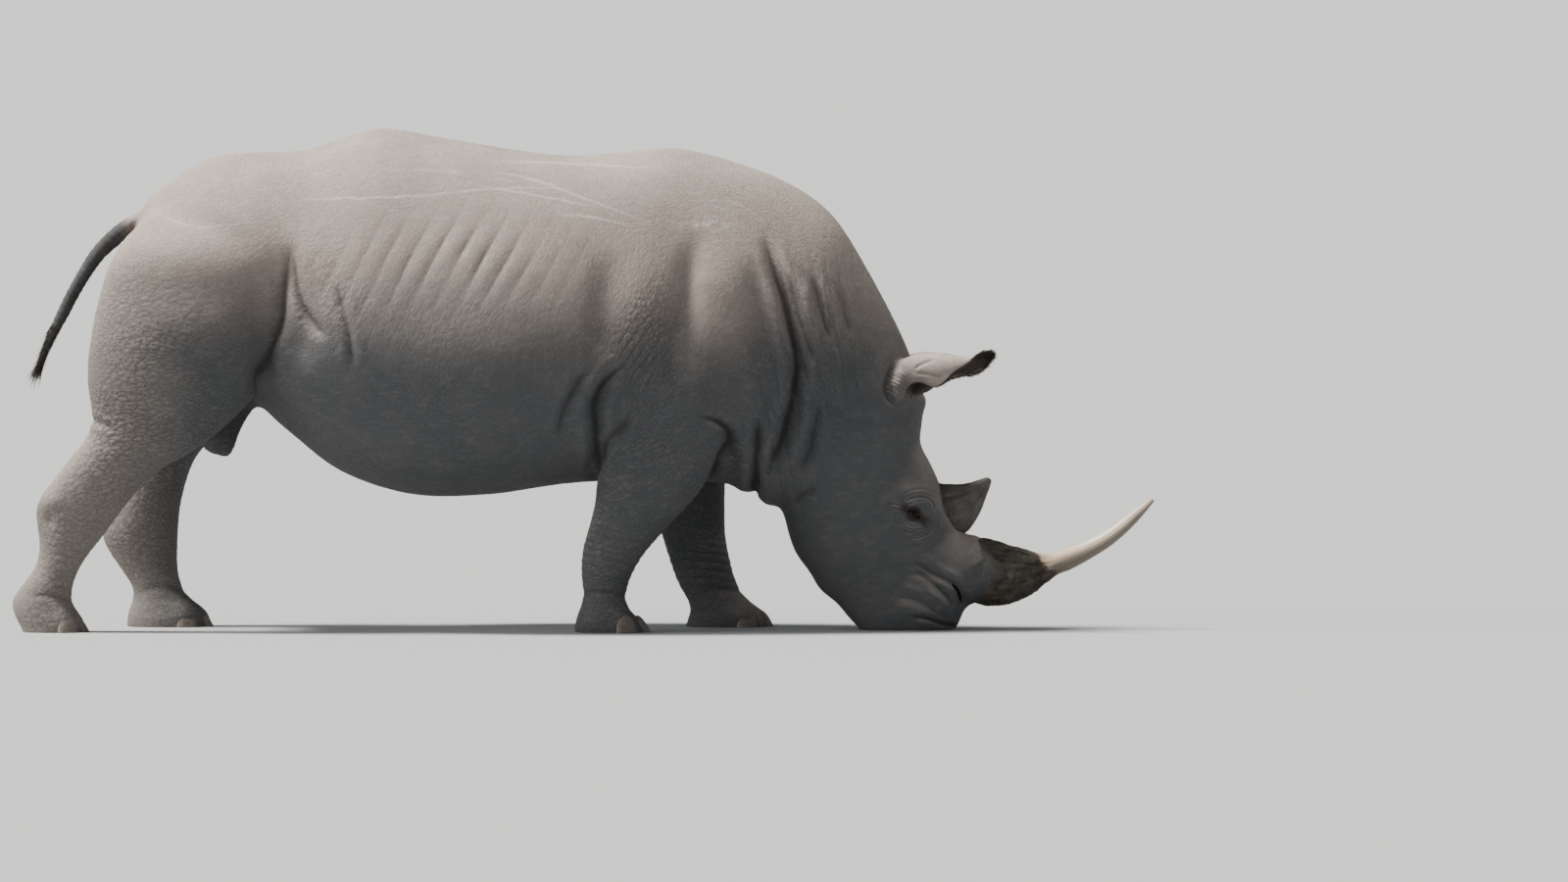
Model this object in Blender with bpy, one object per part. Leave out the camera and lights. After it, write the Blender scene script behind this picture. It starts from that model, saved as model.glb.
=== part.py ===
"""A white rhinoceros bull that grazes in mid-stride: a still, life-size museum model.

The flesh is lofted as overlapping masses, joined by a voxel remesh, sculpted with folds and swellings,
and then parted by thin saw cuts into trunk, neck, head, tail and legs. Horns, eyes, ears and toenails
are pieces of their own, each let into the flesh with a small gap.

Metres, +X to where the animal faces, +Y to its left, +Z up. The floor is z = 0.
"""

import math

import bmesh
import bpy
import numpy as np
from mathutils import Matrix, Vector

# ---------------------------------------------------------------- driving dimensions

SHOULDER_HEIGHT = 1.76
STATION_HEIGHT = 1.76  # the shoulder height that the stations below are written for

GAP = 0.0006  # between neighbouring pieces
VOXEL = 0.018
FLESH_TRIANGLES = 3600
EYE_RADIUS = 0.019
EYE_PROUD = 0.009  # how far the eyeball stands out of the flesh

# ---------------------------------------------------------------- masses
# Each station of the barrel is a section that leans with the body:
# top x, top z, bottom x, bottom z, half width, squareness, and how much wider it is below than above.

BARREL = [
    (-1.600, 1.580, -1.715, 1.267, 0.100, 2.0, 0.00),  # tail root and perineum
    (-1.543, 1.627, -1.679, 1.069, 0.210, 2.1, 0.05),
    (-1.456, 1.685, -1.600, 0.889, 0.300, 2.2, 0.10),
    (-1.348, 1.735, -1.456, 0.799, 0.350, 2.2, 0.10),  # croup
    (-1.204, 1.742, -1.276, 0.806, 0.390, 2.2, 0.10),
    (-1.024, 1.750, -1.096, 0.727, 0.440, 2.2, 0.12),  # flank
    (-0.754, 1.825, -0.880, 0.576, 0.510, 2.2, 0.14),  # hip hump
    (-0.520, 1.793, -0.628, 0.493, 0.550, 2.2, 0.14),  # widest belly
    (-0.268, 1.750, -0.340, 0.493, 0.560, 2.2, 0.14),
    (-0.016, 1.732, -0.052, 0.536, 0.530, 2.2, 0.14),
    (0.164, 1.746, 0.164, 0.547, 0.475, 2.2, 0.18),
    (0.344, 1.760, 0.344, 0.547, 0.425, 2.2, 0.22),  # withers
    (0.560, 1.706, 0.506, 0.540, 0.385, 2.2, 0.20),
    (0.740, 1.638, 0.603, 0.515, 0.355, 2.2, 0.18),  # neck begins
    (0.920, 1.516, 0.679, 0.472, 0.320, 2.2, 0.14),
    (1.046, 1.325, 0.722, 0.461, 0.285, 2.2, 0.10),
    (1.150, 1.130, 0.733, 0.439, 0.250, 2.2, 0.05),  # nape and throat
    (1.222, 0.961, 0.743, 0.400, 0.222, 2.3, 0.00),  # poll
    (1.247, 0.781, 0.761, 0.342, 0.203, 2.4, -0.04),
    (1.269, 0.637, 0.790, 0.288, 0.192, 2.4, -0.06),  # brow
    (1.323, 0.500, 0.830, 0.223, 0.178, 2.4, -0.06),
    (1.375, 0.349, 0.884, 0.151, 0.152, 2.5, -0.04),
    (1.395, 0.223, 0.938, 0.094, 0.142, 2.6, 0.00),  # nose
    (1.400, 0.115, 0.977, 0.043, 0.148, 2.8, 0.00),
    (1.388, 0.036, 1.013, 0.007, 0.152, 3.0, 0.00),  # square lips
    (1.359, -0.014, 1.049, -0.029, 0.130, 3.0, 0.00),
]

# Each station of a limb: front x, front z, back x, back z, centre y, half width.

FORELEG_RIGHT = [
    (0.589, 1.267, 0.200, 1.357, -0.270, 0.110),  # shoulder blade
    (0.617, 1.051, 0.121, 1.123, -0.290, 0.130),
    (0.585, 0.871, 0.063, 0.925, -0.300, 0.140),
    (0.531, 0.727, 0.052, 0.763, -0.300, 0.140),  # elbow
    (0.499, 0.630, 0.049, 0.619, -0.295, 0.135),
    (0.423, 0.500, 0.041, 0.482, -0.285, 0.122),
    (0.311, 0.382, 0.013, 0.374, -0.275, 0.108),
    (0.221, 0.274, -0.009, 0.277, -0.265, 0.096),  # wrist
    (0.178, 0.194, -0.009, 0.194, -0.260, 0.090),
    (0.160, 0.130, 0.002, 0.137, -0.255, 0.094),
    (0.178, 0.065, -0.016, 0.079, -0.255, 0.110),
    (0.236, 0.007, -0.034, 0.029, -0.255, 0.125),  # sole
    (0.250, -0.036, -0.034, -0.036, -0.255, 0.128),
]

FORELEG_LEFT = [
    (0.625, 1.267, 0.236, 1.321, 0.270, 0.110),
    (0.625, 1.051, 0.164, 1.087, 0.290, 0.130),
    (0.585, 0.871, 0.164, 0.889, 0.300, 0.140),
    (0.553, 0.727, 0.193, 0.727, 0.300, 0.135),
    (0.531, 0.583, 0.229, 0.565, 0.290, 0.125),
    (0.524, 0.457, 0.257, 0.432, 0.280, 0.112),
    (0.527, 0.331, 0.293, 0.320, 0.270, 0.100),
    (0.545, 0.234, 0.326, 0.223, 0.262, 0.092),
    (0.563, 0.166, 0.355, 0.148, 0.258, 0.094),
    (0.603, 0.101, 0.391, 0.090, 0.255, 0.108),
    (0.661, 0.043, 0.394, 0.043, 0.255, 0.125),
    (0.689, 0.007, 0.376, 0.007, 0.255, 0.128),
    (0.697, -0.036, 0.376, -0.036, 0.255, 0.128),
]

HINDLEG_RIGHT = [
    (-1.197, 1.573, -1.582, 1.548, -0.200, 0.120),  # hip
    (-1.075, 1.404, -1.706, 1.411, -0.250, 0.145),
    (-1.075, 1.213, -1.772, 1.231, -0.275, 0.155),
    (-1.118, 1.051, -1.798, 1.069, -0.285, 0.155),
    (-1.175, 0.900, -1.804, 0.907, -0.285, 0.145),
    (-1.276, 0.781, -1.795, 0.785, -0.280, 0.125),  # stifle
    (-1.420, 0.666, -1.816, 0.713, -0.275, 0.112),
    (-1.539, 0.601, -1.867, 0.648, -0.270, 0.104),
    (-1.600, 0.547, -1.931, 0.569, -0.268, 0.098),
    (-1.654, 0.482, -1.985, 0.500, -0.265, 0.095),
    (-1.715, 0.403, -2.011, 0.439, -0.262, 0.092),  # hock
    (-1.773, 0.328, -2.000, 0.367, -0.260, 0.086),
    (-1.820, 0.270, -1.993, 0.306, -0.258, 0.082),
    (-1.852, 0.212, -2.007, 0.241, -0.256, 0.082),
    (-1.870, 0.151, -2.054, 0.173, -0.254, 0.088),
    (-1.870, 0.097, -2.093, 0.115, -0.252, 0.100),  # heel
    (-1.838, 0.043, -2.075, 0.050, -0.252, 0.112),
    (-1.823, 0.007, -2.047, 0.007, -0.252, 0.115),
    (-1.823, -0.036, -2.047, -0.036, -0.252, 0.115),
]

HINDLEG_LEFT = [
    (-1.197, 1.573, -1.582, 1.548, 0.200, 0.120),
    (-1.075, 1.404, -1.694, 1.411, 0.250, 0.145),
    (-1.067, 1.213, -1.751, 1.231, 0.275, 0.155),
    (-1.103, 1.051, -1.766, 1.069, 0.285, 0.155),
    (-1.161, 0.900, -1.751, 0.907, 0.285, 0.145),
    (-1.255, 0.781, -1.715, 0.770, 0.280, 0.125),
    (-1.363, 0.691, -1.694, 0.673, 0.275, 0.112),
    (-1.424, 0.619, -1.701, 0.576, 0.270, 0.104),
    (-1.456, 0.540, -1.726, 0.482, 0.268, 0.098),
    (-1.478, 0.454, -1.759, 0.403, 0.265, 0.095),
    (-1.489, 0.356, -1.773, 0.331, 0.262, 0.092),
    (-1.492, 0.274, -1.737, 0.256, 0.260, 0.086),
    (-1.489, 0.202, -1.687, 0.184, 0.258, 0.082),
    (-1.471, 0.140, -1.654, 0.130, 0.256, 0.086),
    (-1.427, 0.086, -1.665, 0.083, 0.254, 0.100),
    (-1.384, 0.036, -1.683, 0.036, 0.252, 0.112),
    (-1.373, 0.004, -1.683, 0.004, 0.252, 0.115),
    (-1.373, -0.036, -1.683, -0.036, 0.252, 0.115),
]

TAIL = [
    (-1.535, 1.610, -1.571, 1.512, 0, 0.046),
    (-1.618, 1.552, -1.640, 1.480, 0, 0.039),
    (-1.726, 1.488, -1.698, 1.425, 0, 0.034),
    (-1.807, 1.408, -1.758, 1.370, 0, 0.031),
    (-1.861, 1.321, -1.808, 1.297, 0, 0.029),
    (-1.897, 1.249, -1.850, 1.222, 0, 0.026),
    (-1.933, 1.159, -1.894, 1.142, 0, 0.021),
    (-1.960, 1.095, -1.929, 1.082, 0, 0.017),
    (-1.984, 1.030, -1.961, 1.020, 0, 0.013),
    (-1.998, 0.982, -1.979, 0.976, 0, 0.010),
]

TAIL_TUFT = [
    (-1.999, 0.975, -1.977, 0.968, 0, 0.013),
    (-2.011, 0.950, -1.972, 0.938, 0, 0.019),
    (-2.021, 0.922, -1.990, 0.906, 0, 0.014),
    (-2.025, 0.895, -2.011, 0.889, 0, 0.005),
]

SHEATH = [
    (-1.160, 0.900, -1.370, 0.860, 0, 0.050),
    (-1.210, 0.806, -1.392, 0.763, 0, 0.052),
    (-1.255, 0.727, -1.406, 0.706, 0, 0.046),
    (-1.273, 0.662, -1.406, 0.669, 0, 0.040),
    (-1.290, 0.626, -1.377, 0.640, 0, 0.026),
]

# The skin of the nose that carries the front horn.
NOSE = [
    (1.250, 0.420, 1.230, 0.060, 0, 0.110),
    (1.330, 0.385, 1.320, 0.072, 0, 0.125),
    (1.400, 0.352, 1.392, 0.088, 0, 0.124),
    (1.455, 0.334, 1.450, 0.094, 0, 0.112),
    (1.485, 0.322, 1.482, 0.100, 0, 0.100),
]

HORN_FRONT = [
    (1.410, 0.330, 1.400, 0.112, 0, 0.095),
    (1.470, 0.334, 1.464, 0.090, 0, 0.110),
    (1.532, 0.320, 1.539, 0.086, 0, 0.105),
    (1.604, 0.299, 1.622, 0.112, 0, 0.086),
    (1.658, 0.284, 1.676, 0.151, 0, 0.062),
    (1.701, 0.274, 1.726, 0.191, 0, 0.042),
    (1.766, 0.295, 1.795, 0.212, 0, 0.038),
    (1.838, 0.320, 1.870, 0.248, 0, 0.034),
    (1.913, 0.356, 1.949, 0.295, 0, 0.029),
    (1.978, 0.400, 2.014, 0.353, 0, 0.022),
    (2.036, 0.446, 2.065, 0.414, 0, 0.014),
    (2.090, 0.479, 2.101, 0.472, 0, 0.003),
]

HORN_REAR = [
    (1.265, 0.554, 1.345, 0.310, 0, 0.056),
    (1.316, 0.536, 1.402, 0.346, 0, 0.058),
    (1.370, 0.533, 1.438, 0.389, 0, 0.046),
    (1.424, 0.540, 1.467, 0.443, 0, 0.030),
    (1.467, 0.551, 1.489, 0.500, 0, 0.016),
    (1.492, 0.558, 1.503, 0.540, 0, 0.004),
]

# An ear, on the right side: x, y, z of the cup's middle, its radius across, its radius upwards,
# the half angle that its wall covers, and the wall's thickness.
EAR = [
    (1.130, -0.070, 0.890, 0.055, 0.062, 165, 0.018),
    (1.185, -0.135, 0.918, 0.062, 0.076, 163, 0.018),
    (1.244, -0.178, 0.936, 0.064, 0.078, 152, 0.016),
    (1.316, -0.198, 0.946, 0.062, 0.074, 130, 0.014),
    (1.373, -0.204, 0.961, 0.056, 0.061, 114, 0.012),
    (1.424, -0.208, 0.962, 0.048, 0.060, 102, 0.011),
    (1.460, -0.211, 0.974, 0.038, 0.054, 93, 0.010),
    (1.489, -0.213, 0.993, 0.027, 0.043, 86, 0.010),
    (1.515, -0.214, 1.021, 0.013, 0.020, 80, 0.008),
]
EAR_OPENING = (0.10, 0.12, -0.98)  # where the cup of the right ear opens to

EYE_PLACE = (1.215, 0.428)

LEGS = {
    "foreleg_right": FORELEG_RIGHT,
    "foreleg_left": FORELEG_LEFT,
    "hindleg_right": HINDLEG_RIGHT,
    "hindleg_left": HINDLEG_LEFT,
}

# Toenails: name, direction from straight ahead, half width.
TOES = [("inner", -62, 0.040), ("middle", 0, 0.052), ("outer", 62, 0.040)]
NAIL_THICKNESS = 0.020
NAIL_HEIGHT = 0.070
NAIL_LEAN = math.radians(16)
NAIL_INSET = 0.90  # of the way from the middle of the sole to its edge

# Saw cuts: XZ path, inner y, outer y, and whether the inner side is cut too, as on a leg.
SAWS = [
    ([(1.276, 1.329), (0.667, 0.366)], -0.6, 0.6, False),  # head from neck
    ([(0.770, 1.800), (0.595, 0.400)], -0.6, 0.6, False),  # neck from trunk
    ([(0.052, 0.439), (0.052, 0.871), (0.553, 0.763), (0.538, 0.439)], -0.130, -0.8, True),
    ([(0.200, 0.439), (0.165, 0.871), (0.575, 0.800), (0.560, 0.439)], 0.130, 0.8, True),
    ([(-1.900, 0.640), (-1.920, 1.230), (-1.049, 1.350), (-1.075, 1.213), (-1.118, 1.051), (-1.175, 0.900),
      (-1.225, 0.800), (-1.260, 0.640)], -0.125, -0.8, True),
    ([(-1.900, 0.640), (-1.920, 1.230), (-1.049, 1.350), (-1.067, 1.213), (-1.103, 1.051), (-1.161, 0.900),
      (-1.215, 0.800), (-1.250, 0.640)], 0.125, 0.8, True),
]

# A point inside each piece that the saws leave.
SEEDS = {
    "trunk": (-0.50, 0, 1.10),
    "neck": (0.85, 0, 0.95),
    "head": (1.10, 0, 0.45),
    "foreleg_right": (0.15, -0.26, 0.35),
    "foreleg_left": (0.45, 0.26, 0.35),
    "hindleg_right": (-1.80, -0.26, 0.50),
    "hindleg_left": (-1.55, 0.26, 0.50),
}

# ---------------------------------------------------------------- curves and lofts


def resample(rows, count):
    """Rows of numbers at equal steps along a smooth curve through them; columns 0 to 3 are two points."""
    rows = np.array(rows, float)
    middle = (rows[:, 0:2] + rows[:, 2:4]) / 2
    steps = np.linalg.norm(np.diff(middle, axis=0), axis=1)
    station = np.concatenate([[0], np.cumsum(steps)])
    slope = np.gradient(rows, station, axis=0)
    at = np.linspace(0, station[-1], count)
    first = np.clip(np.searchsorted(station, at, side="right") - 1, 0, len(station) - 2)
    span = (station[first + 1] - station[first])[:, None]
    u = (at - station[first])[:, None] / span
    start = (2 * u**3 - 3 * u**2 + 1) * rows[first] + (u**3 - 2 * u**2 + u) * span * slope[first]
    end = (3 * u**2 - 2 * u**3) * rows[first + 1] + (u**3 - u**2) * span * slope[first + 1]
    return start + end


def section(front, back, centre_y, half_width, power, pear, count):
    """A closed ring of points: a superellipse between two points of the XZ plane."""
    angle = 2 * np.pi * np.arange(count) / count
    cosine, sine = np.cos(angle), np.sin(angle)
    along = np.sign(cosine) * np.abs(cosine) ** (2 / power)
    across = np.sign(sine) * np.abs(sine) ** (2 / power)
    middle = (front + back) / 2
    half = (front - back) / 2
    ring = np.empty((count, 3))
    ring[:, 0] = middle[0] + half[0] * along
    ring[:, 1] = centre_y + half_width * across * (1 - pear * along)
    ring[:, 2] = middle[1] + half[1] * along
    return ring


def add_tube(bm, rings):
    """A closed tube through rings of equally many points, with flat ends."""
    loops = [[bm.verts.new(point) for point in ring] for ring in rings]
    count = len(loops[0])
    for near, far in zip(loops, loops[1:]):
        for i in range(count):
            j = (i + 1) % count
            bm.faces.new((near[i], near[j], far[j], far[i]))
    bm.faces.new(reversed(loops[0]))
    bm.faces.new(loops[-1])


def add_limb(bm, stations, around=24, along=48, power=2.2):
    """A tube through limb stations."""
    rows = resample(stations, along)
    rings = [section(r[0:2], r[2:4], r[4], r[5], power, 0, around) for r in rows]
    add_tube(bm, rings)


def add_barrel(bm, stations, around=56, along=110):
    """A tube through barrel stations, which also give squareness and pear shape."""
    rows = resample(stations, along)
    rings = [section(r[0:2], r[2:4], 0, r[4], r[5], r[6], around) for r in rows]
    add_tube(bm, rings)


# ---------------------------------------------------------------- objects and modifiers


def new_object(name, bm, material=None):
    """Makes an object of triangles, so that a grown copy has the same faces as the piece it is for."""
    bmesh.ops.recalc_face_normals(bm, faces=bm.faces[:])
    bmesh.ops.triangulate(bm, faces=bm.faces[:])
    mesh = bpy.data.meshes.new(name)
    bm.to_mesh(mesh)
    bm.free()
    obj = bpy.data.objects.new(name, mesh)
    bpy.context.scene.collection.objects.link(obj)
    if material:
        mesh.materials.append(material)
    return obj


def apply_modifiers(obj):
    """Replaces the object's mesh with its evaluated one."""
    graph = bpy.context.evaluated_depsgraph_get()
    mesh = bpy.data.meshes.new_from_object(obj.evaluated_get(graph))
    obj.modifiers.clear()
    obj.data = mesh


def discard(obj):
    bpy.data.objects.remove(obj)


def boolean(obj, cutter, operation="DIFFERENCE"):
    """Cuts obj with cutter, or joins them, for good. The cutter is used up."""
    modifier = obj.modifiers.new("Boolean", "BOOLEAN")
    modifier.operation = operation
    modifier.object = cutter
    apply_modifiers(obj)
    discard(cutter)


def points_of(mesh):
    points = np.empty(len(mesh.vertices) * 3)
    mesh.vertices.foreach_get("co", points)
    return points.reshape(-1, 3)


def normals_of(mesh):
    normals = np.empty(len(mesh.vertices) * 3, np.float32)
    mesh.vertex_normals.foreach_get("vector", normals)
    return normals.reshape(-1, 3).astype(float)


def set_points(mesh, points):
    mesh.vertices.foreach_set("co", points.ravel())
    mesh.update()


def grown(obj, by):
    """A copy of the object, thicker by that much all over."""
    copy = obj.copy()
    copy.data = obj.data.copy()
    bpy.context.scene.collection.objects.link(copy)
    set_points(copy.data, points_of(copy.data) + by * normals_of(copy.data))
    return copy


def smooth(mesh, rounds, strength=0.5):
    """Moves each point towards the middle of its neighbours, some rounds over."""
    edges = np.empty(len(mesh.edges) * 2, np.int64)
    mesh.edges.foreach_get("vertices", edges)
    edges = edges.reshape(-1, 2)
    points = points_of(mesh)
    count = np.bincount(edges.ravel(), minlength=len(points))[:, None]
    for _ in range(rounds):
        total = np.zeros_like(points)
        for axis in range(3):
            total[:, axis] += np.bincount(edges[:, 0], points[edges[:, 1], axis], len(points))
            total[:, axis] += np.bincount(edges[:, 1], points[edges[:, 0], axis], len(points))
        points += strength * (total / np.maximum(count, 1) - points)
    set_points(mesh, points)


# ---------------------------------------------------------------- sculpting

# Folds of the skin: a path in the XZ plane, width, depth, lip height on its front side, and the sides it is on.
RIGHT, LEFT, BOTH = (-1,), (1,), (-1, 1)
FOLDS = [
    # the deep fold between shoulder and neck, down to the brisket
    ([(0.726, 1.476), (0.761, 1.368), (0.787, 1.231), (0.797, 1.069), (0.794, 0.907), (0.769, 0.781),
      (0.729, 0.673), (0.679, 0.583), (0.632, 0.490)], 0.022, 0.034, 0.012, BOTH),
    # the fold that parts the two lobes of the brisket
    ([(0.634, 0.780), (0.630, 0.691), (0.610, 0.601), (0.578, 0.500)], 0.018, 0.026, 0.008, BOTH),
    # behind each elbow
    ([(0.164, 0.961), (0.099, 0.889), (0.063, 0.817), (0.052, 0.727), (0.049, 0.619), (0.045, 0.530)],
     0.026, 0.030, 0.004, RIGHT),
    ([(0.270, 0.930), (0.215, 0.860), (0.190, 0.780), (0.185, 0.690), (0.190, 0.560)], 0.026, 0.028, 0.004, LEFT),
    # flank, in front of each thigh
    ([(-1.060, 1.420), (-1.049, 1.340), (-1.055, 1.250), (-1.078, 1.150), (-1.118, 1.040), (-1.165, 0.920),
      (-1.200, 0.845)], 0.028, 0.034, 0.006, BOTH),
    # where the upper arm meets the chest
    ([(0.380, 0.775), (0.460, 0.768), (0.520, 0.750), (0.552, 0.705), (0.540, 0.620), (0.516, 0.540)],
     0.020, 0.026, 0.006, RIGHT),
    ([(0.420, 0.800), (0.500, 0.790), (0.555, 0.770), (0.580, 0.710), (0.565, 0.620), (0.545, 0.540)],
     0.020, 0.026, 0.006, LEFT),
    # crease under each buttock
    ([(-1.840, 0.790), (-1.760, 0.772), (-1.690, 0.735), (-1.660, 0.690)], 0.020, 0.020, 0.006, RIGHT),
    ([(-1.740, 0.740), (-1.690, 0.735), (-1.640, 0.710), (-1.610, 0.670)], 0.020, 0.018, 0.006, LEFT),
]

# Swellings: centre, radii, height. The y given is on the right side; each is mirrored.
SWELLINGS = [
    ((1.245, -0.185, 0.470), (0.075, 0.10, 0.050), 0.014),  # brow
    ((0.960, -0.205, 0.420), (0.150, 0.12, 0.150), 0.012),  # cheek
    ((1.330, -0.110, 0.110), (0.060, 0.08, 0.060), 0.010),  # nostril
    ((0.330, -0.400, 1.180), (0.180, 0.20, 0.330), 0.022),  # shoulder blade
    ((-1.300, -0.330, 1.520), (0.200, 0.20, 0.130), 0.018),  # hip bone
]


def path_distance(points, path):
    """How far XZ points lie from a path, signed (ahead of it is positive), and the share along it."""
    path = np.array(path, float)
    nearest = np.full(len(points), np.inf)
    signed = np.zeros(len(points))
    share = np.zeros(len(points))
    lengths = np.linalg.norm(np.diff(path, axis=0), axis=1)
    travelled = np.concatenate([[0], np.cumsum(lengths)])
    for i, length in enumerate(lengths):
        direction = (path[i + 1] - path[i]) / length
        offset = points - path[i]
        along = offset @ direction
        held = np.clip(along, 0, length)
        away = offset - held[:, None] * direction
        distance = np.linalg.norm(away, axis=1)
        closer = distance < nearest
        side = np.where(offset[:, 0] * -direction[1] + offset[:, 1] * direction[0] > 0, 1, -1)
        nearest = np.where(closer, distance, nearest)
        signed = np.where(closer, distance * side, signed)
        share = np.where(closer, (travelled[i] + held) / travelled[-1], share)
    return signed, share


def ramp(value, low, high):
    t = np.clip((value - low) / (high - low), 0, 1)
    return t * t * (3 - 2 * t)


def sculpt(mesh):
    """Presses the folds into the flesh and raises the swellings."""
    for path, width, depth, lip, sides in FOLDS:
        points, normals = points_of(mesh), normals_of(mesh)
        signed, share = path_distance(points[:, [0, 2]], path)
        fade = ramp(share, 0, 0.12) * ramp(1 - share, 0, 0.05)
        wanted = np.zeros(len(points))
        for side in sides:
            wanted = np.maximum(wanted, ramp(side * points[:, 1], 0.02, 0.10))
        groove = -depth * np.exp(-((signed / width) ** 2))
        bulge = lip * np.exp(-(((signed - 2.6 * width) / (1.8 * width)) ** 2))
        set_points(mesh, points + normals * ((groove + bulge) * fade * wanted)[:, None])
    for centre, radii, height in SWELLINGS:
        points, normals = points_of(mesh), normals_of(mesh)
        mirrored = points * (1, -1, 1)
        here = np.minimum(
            (((points - centre) / radii) ** 2).sum(axis=1),
            (((mirrored - centre) / radii) ** 2).sum(axis=1),
        )
        set_points(mesh, points + normals * (height * np.exp(-here))[:, None])


# ---------------------------------------------------------------- the flesh


def make_flesh():
    """All the flesh as one closed surface."""
    bm = bmesh.new()
    add_barrel(bm, BARREL)
    for stations in (FORELEG_RIGHT, FORELEG_LEFT, HINDLEG_RIGHT, HINDLEG_LEFT):
        add_limb(bm, stations)
    add_limb(bm, SHEATH, around=16, along=12)
    add_limb(bm, NOSE, around=32, along=14)
    flesh = new_object("flesh", bm)
    remesh = flesh.modifiers.new("Remesh", "REMESH")
    remesh.mode = "VOXEL"
    remesh.voxel_size = VOXEL
    apply_modifiers(flesh)
    smooth(flesh.data, rounds=4)
    sculpt(flesh.data)
    smooth(flesh.data, rounds=1)
    decimate = flesh.modifiers.new("Decimate", "DECIMATE")
    decimate.ratio = FLESH_TRIANGLES / (2 * len(flesh.data.polygons))
    apply_modifiers(flesh)
    return flesh


# ---------------------------------------------------------------- horns, eyes, ears and toenails


def make_taper(name, stations, around, along, material):
    """A horn, the tail, or the tuft of hair on its end."""
    bm = bmesh.new()
    add_limb(bm, stations, around, along, power=2.1)
    return new_object(name, bm, material)


def surface_y(flesh, x, z, side):
    """Where the flesh's surface is on one side, at that x and z."""
    hit, place, _, _ = flesh.ray_cast(Vector((x, side, z)), Vector((0, -side, 0)))
    return place.y if hit else 0


def make_eye(name, flesh, side, material):
    x, z = EYE_PLACE
    y = surface_y(flesh, x, z, side) - side * (EYE_RADIUS - EYE_PROUD)
    bm = bmesh.new()
    bmesh.ops.create_uvsphere(bm, u_segments=12, v_segments=8, radius=EYE_RADIUS)
    bmesh.ops.translate(bm, vec=(x, y, z), verts=bm.verts[:])
    return new_object(name, bm, material)


def ear_section(row, tangent, side, count):
    """The ring of one ear section: the outside of the cup one way round, then its inside back."""
    x, y, z, across_radius, up_radius, half_angle, thickness = row
    opening = Vector(EAR_OPENING) * Vector((1, -side, 1))
    opening = (opening - opening.dot(tangent) * tangent).normalized()
    across = tangent.cross(opening)
    ring = []
    for inset, direction in ((0, 1), (thickness, -1)):
        for k in range(count):
            angle = math.radians(half_angle) * direction * (2 * k / (count - 1) - 1)
            up = (up_radius - inset) * math.cos(angle)
            out = (across_radius - inset) * math.sin(angle)
            ring.append(Vector((x, y, z)) - opening * up + across * out)
    return ring


def make_ear(name, side, material, along=12, count=7):
    """A cup that is nearly closed at its root and opens towards its tip."""
    rows = np.array(EAR, float)
    rows[:, 1] *= -side
    steps = np.linalg.norm(np.diff(rows[:, 0:3], axis=0), axis=1)
    station = np.concatenate([[0], np.cumsum(steps)])
    at = np.linspace(0, station[-1], along)
    rows = np.stack([np.interp(at, station, column) for column in rows.T], axis=1)
    for _ in range(2):
        rows[1:-1] = (rows[:-2] + 2 * rows[1:-1] + rows[2:]) / 4
    rings = []
    for i, row in enumerate(rows):
        before, after = rows[max(i - 1, 0)], rows[min(i + 1, along - 1)]
        rings.append(ear_section(row, Vector(after[0:3] - before[0:3]).normalized(), side, count))
    bm = bmesh.new()
    add_tube(bm, rings)
    return new_object(name, bm, material)


def make_toenails(leg_name, stations, material):
    """Three hoof-like nails round the front of one foot, flat on the floor."""
    front_x, _, back_x, _, centre_y, half_width = stations[-2]
    middle_x, half_length = (front_x + back_x) / 2, (front_x - back_x) / 2
    nails = []
    for label, degrees, half_across in TOES:
        angle = math.radians(degrees)
        place = Vector((half_length * math.cos(angle), half_width * math.sin(angle), 0)) * NAIL_INSET
        place += Vector((middle_x, centre_y, 0))
        outward = math.atan2(math.sin(angle) / half_width, math.cos(angle) / half_length)
        bm = bmesh.new()
        bmesh.ops.create_uvsphere(bm, u_segments=8, v_segments=5, radius=1)
        size = Matrix.Diagonal((NAIL_THICKNESS, half_across, NAIL_HEIGHT, 1))
        lean = Matrix.Rotation(-NAIL_LEAN, 4, "Y")
        turn = Matrix.Rotation(outward, 4, "Z")
        bmesh.ops.transform(bm, matrix=Matrix.Translation(place) @ turn @ lean @ size, verts=bm.verts[:])
        nails.append(new_object(f"toenail_{leg_name}_{label}", bm, material))
    return nails


# ---------------------------------------------------------------- saw cuts


def box_object(name, low, high):
    bm = bmesh.new()
    bmesh.ops.create_cube(bm, size=1)
    size = Vector(high) - Vector(low)
    middle = (Vector(high) + Vector(low)) / 2
    bmesh.ops.transform(bm, matrix=Matrix.Translation(middle) @ Matrix.Diagonal((*size, 1)), verts=bm.verts[:])
    return new_object(name, bm)


def trim_at_floor(obj):
    """Everything below the floor goes, which leaves flat soles."""
    boolean(obj, box_object("floor_cutter", (-3, -2, -1), (3, 2, 0)))


def make_saw(path, inner_y, outer_y, closed_inside):
    """A thin sheet that follows an XZ path across the flesh, and on a leg also its inner side."""
    bm = bmesh.new()
    inner = [bm.verts.new((x, inner_y, z)) for x, z in path]
    outer = [bm.verts.new((x, outer_y, z)) for x, z in path]
    for i in range(len(path) - 1):
        bm.faces.new((inner[i], inner[i + 1], outer[i + 1], outer[i]))
    if closed_inside:
        bm.faces.new(inner)
    saw = new_object("saw", bm)
    thick = saw.modifiers.new("Solidify", "SOLIDIFY")
    thick.thickness = GAP
    thick.offset = 0
    apply_modifiers(saw)
    return saw


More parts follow.
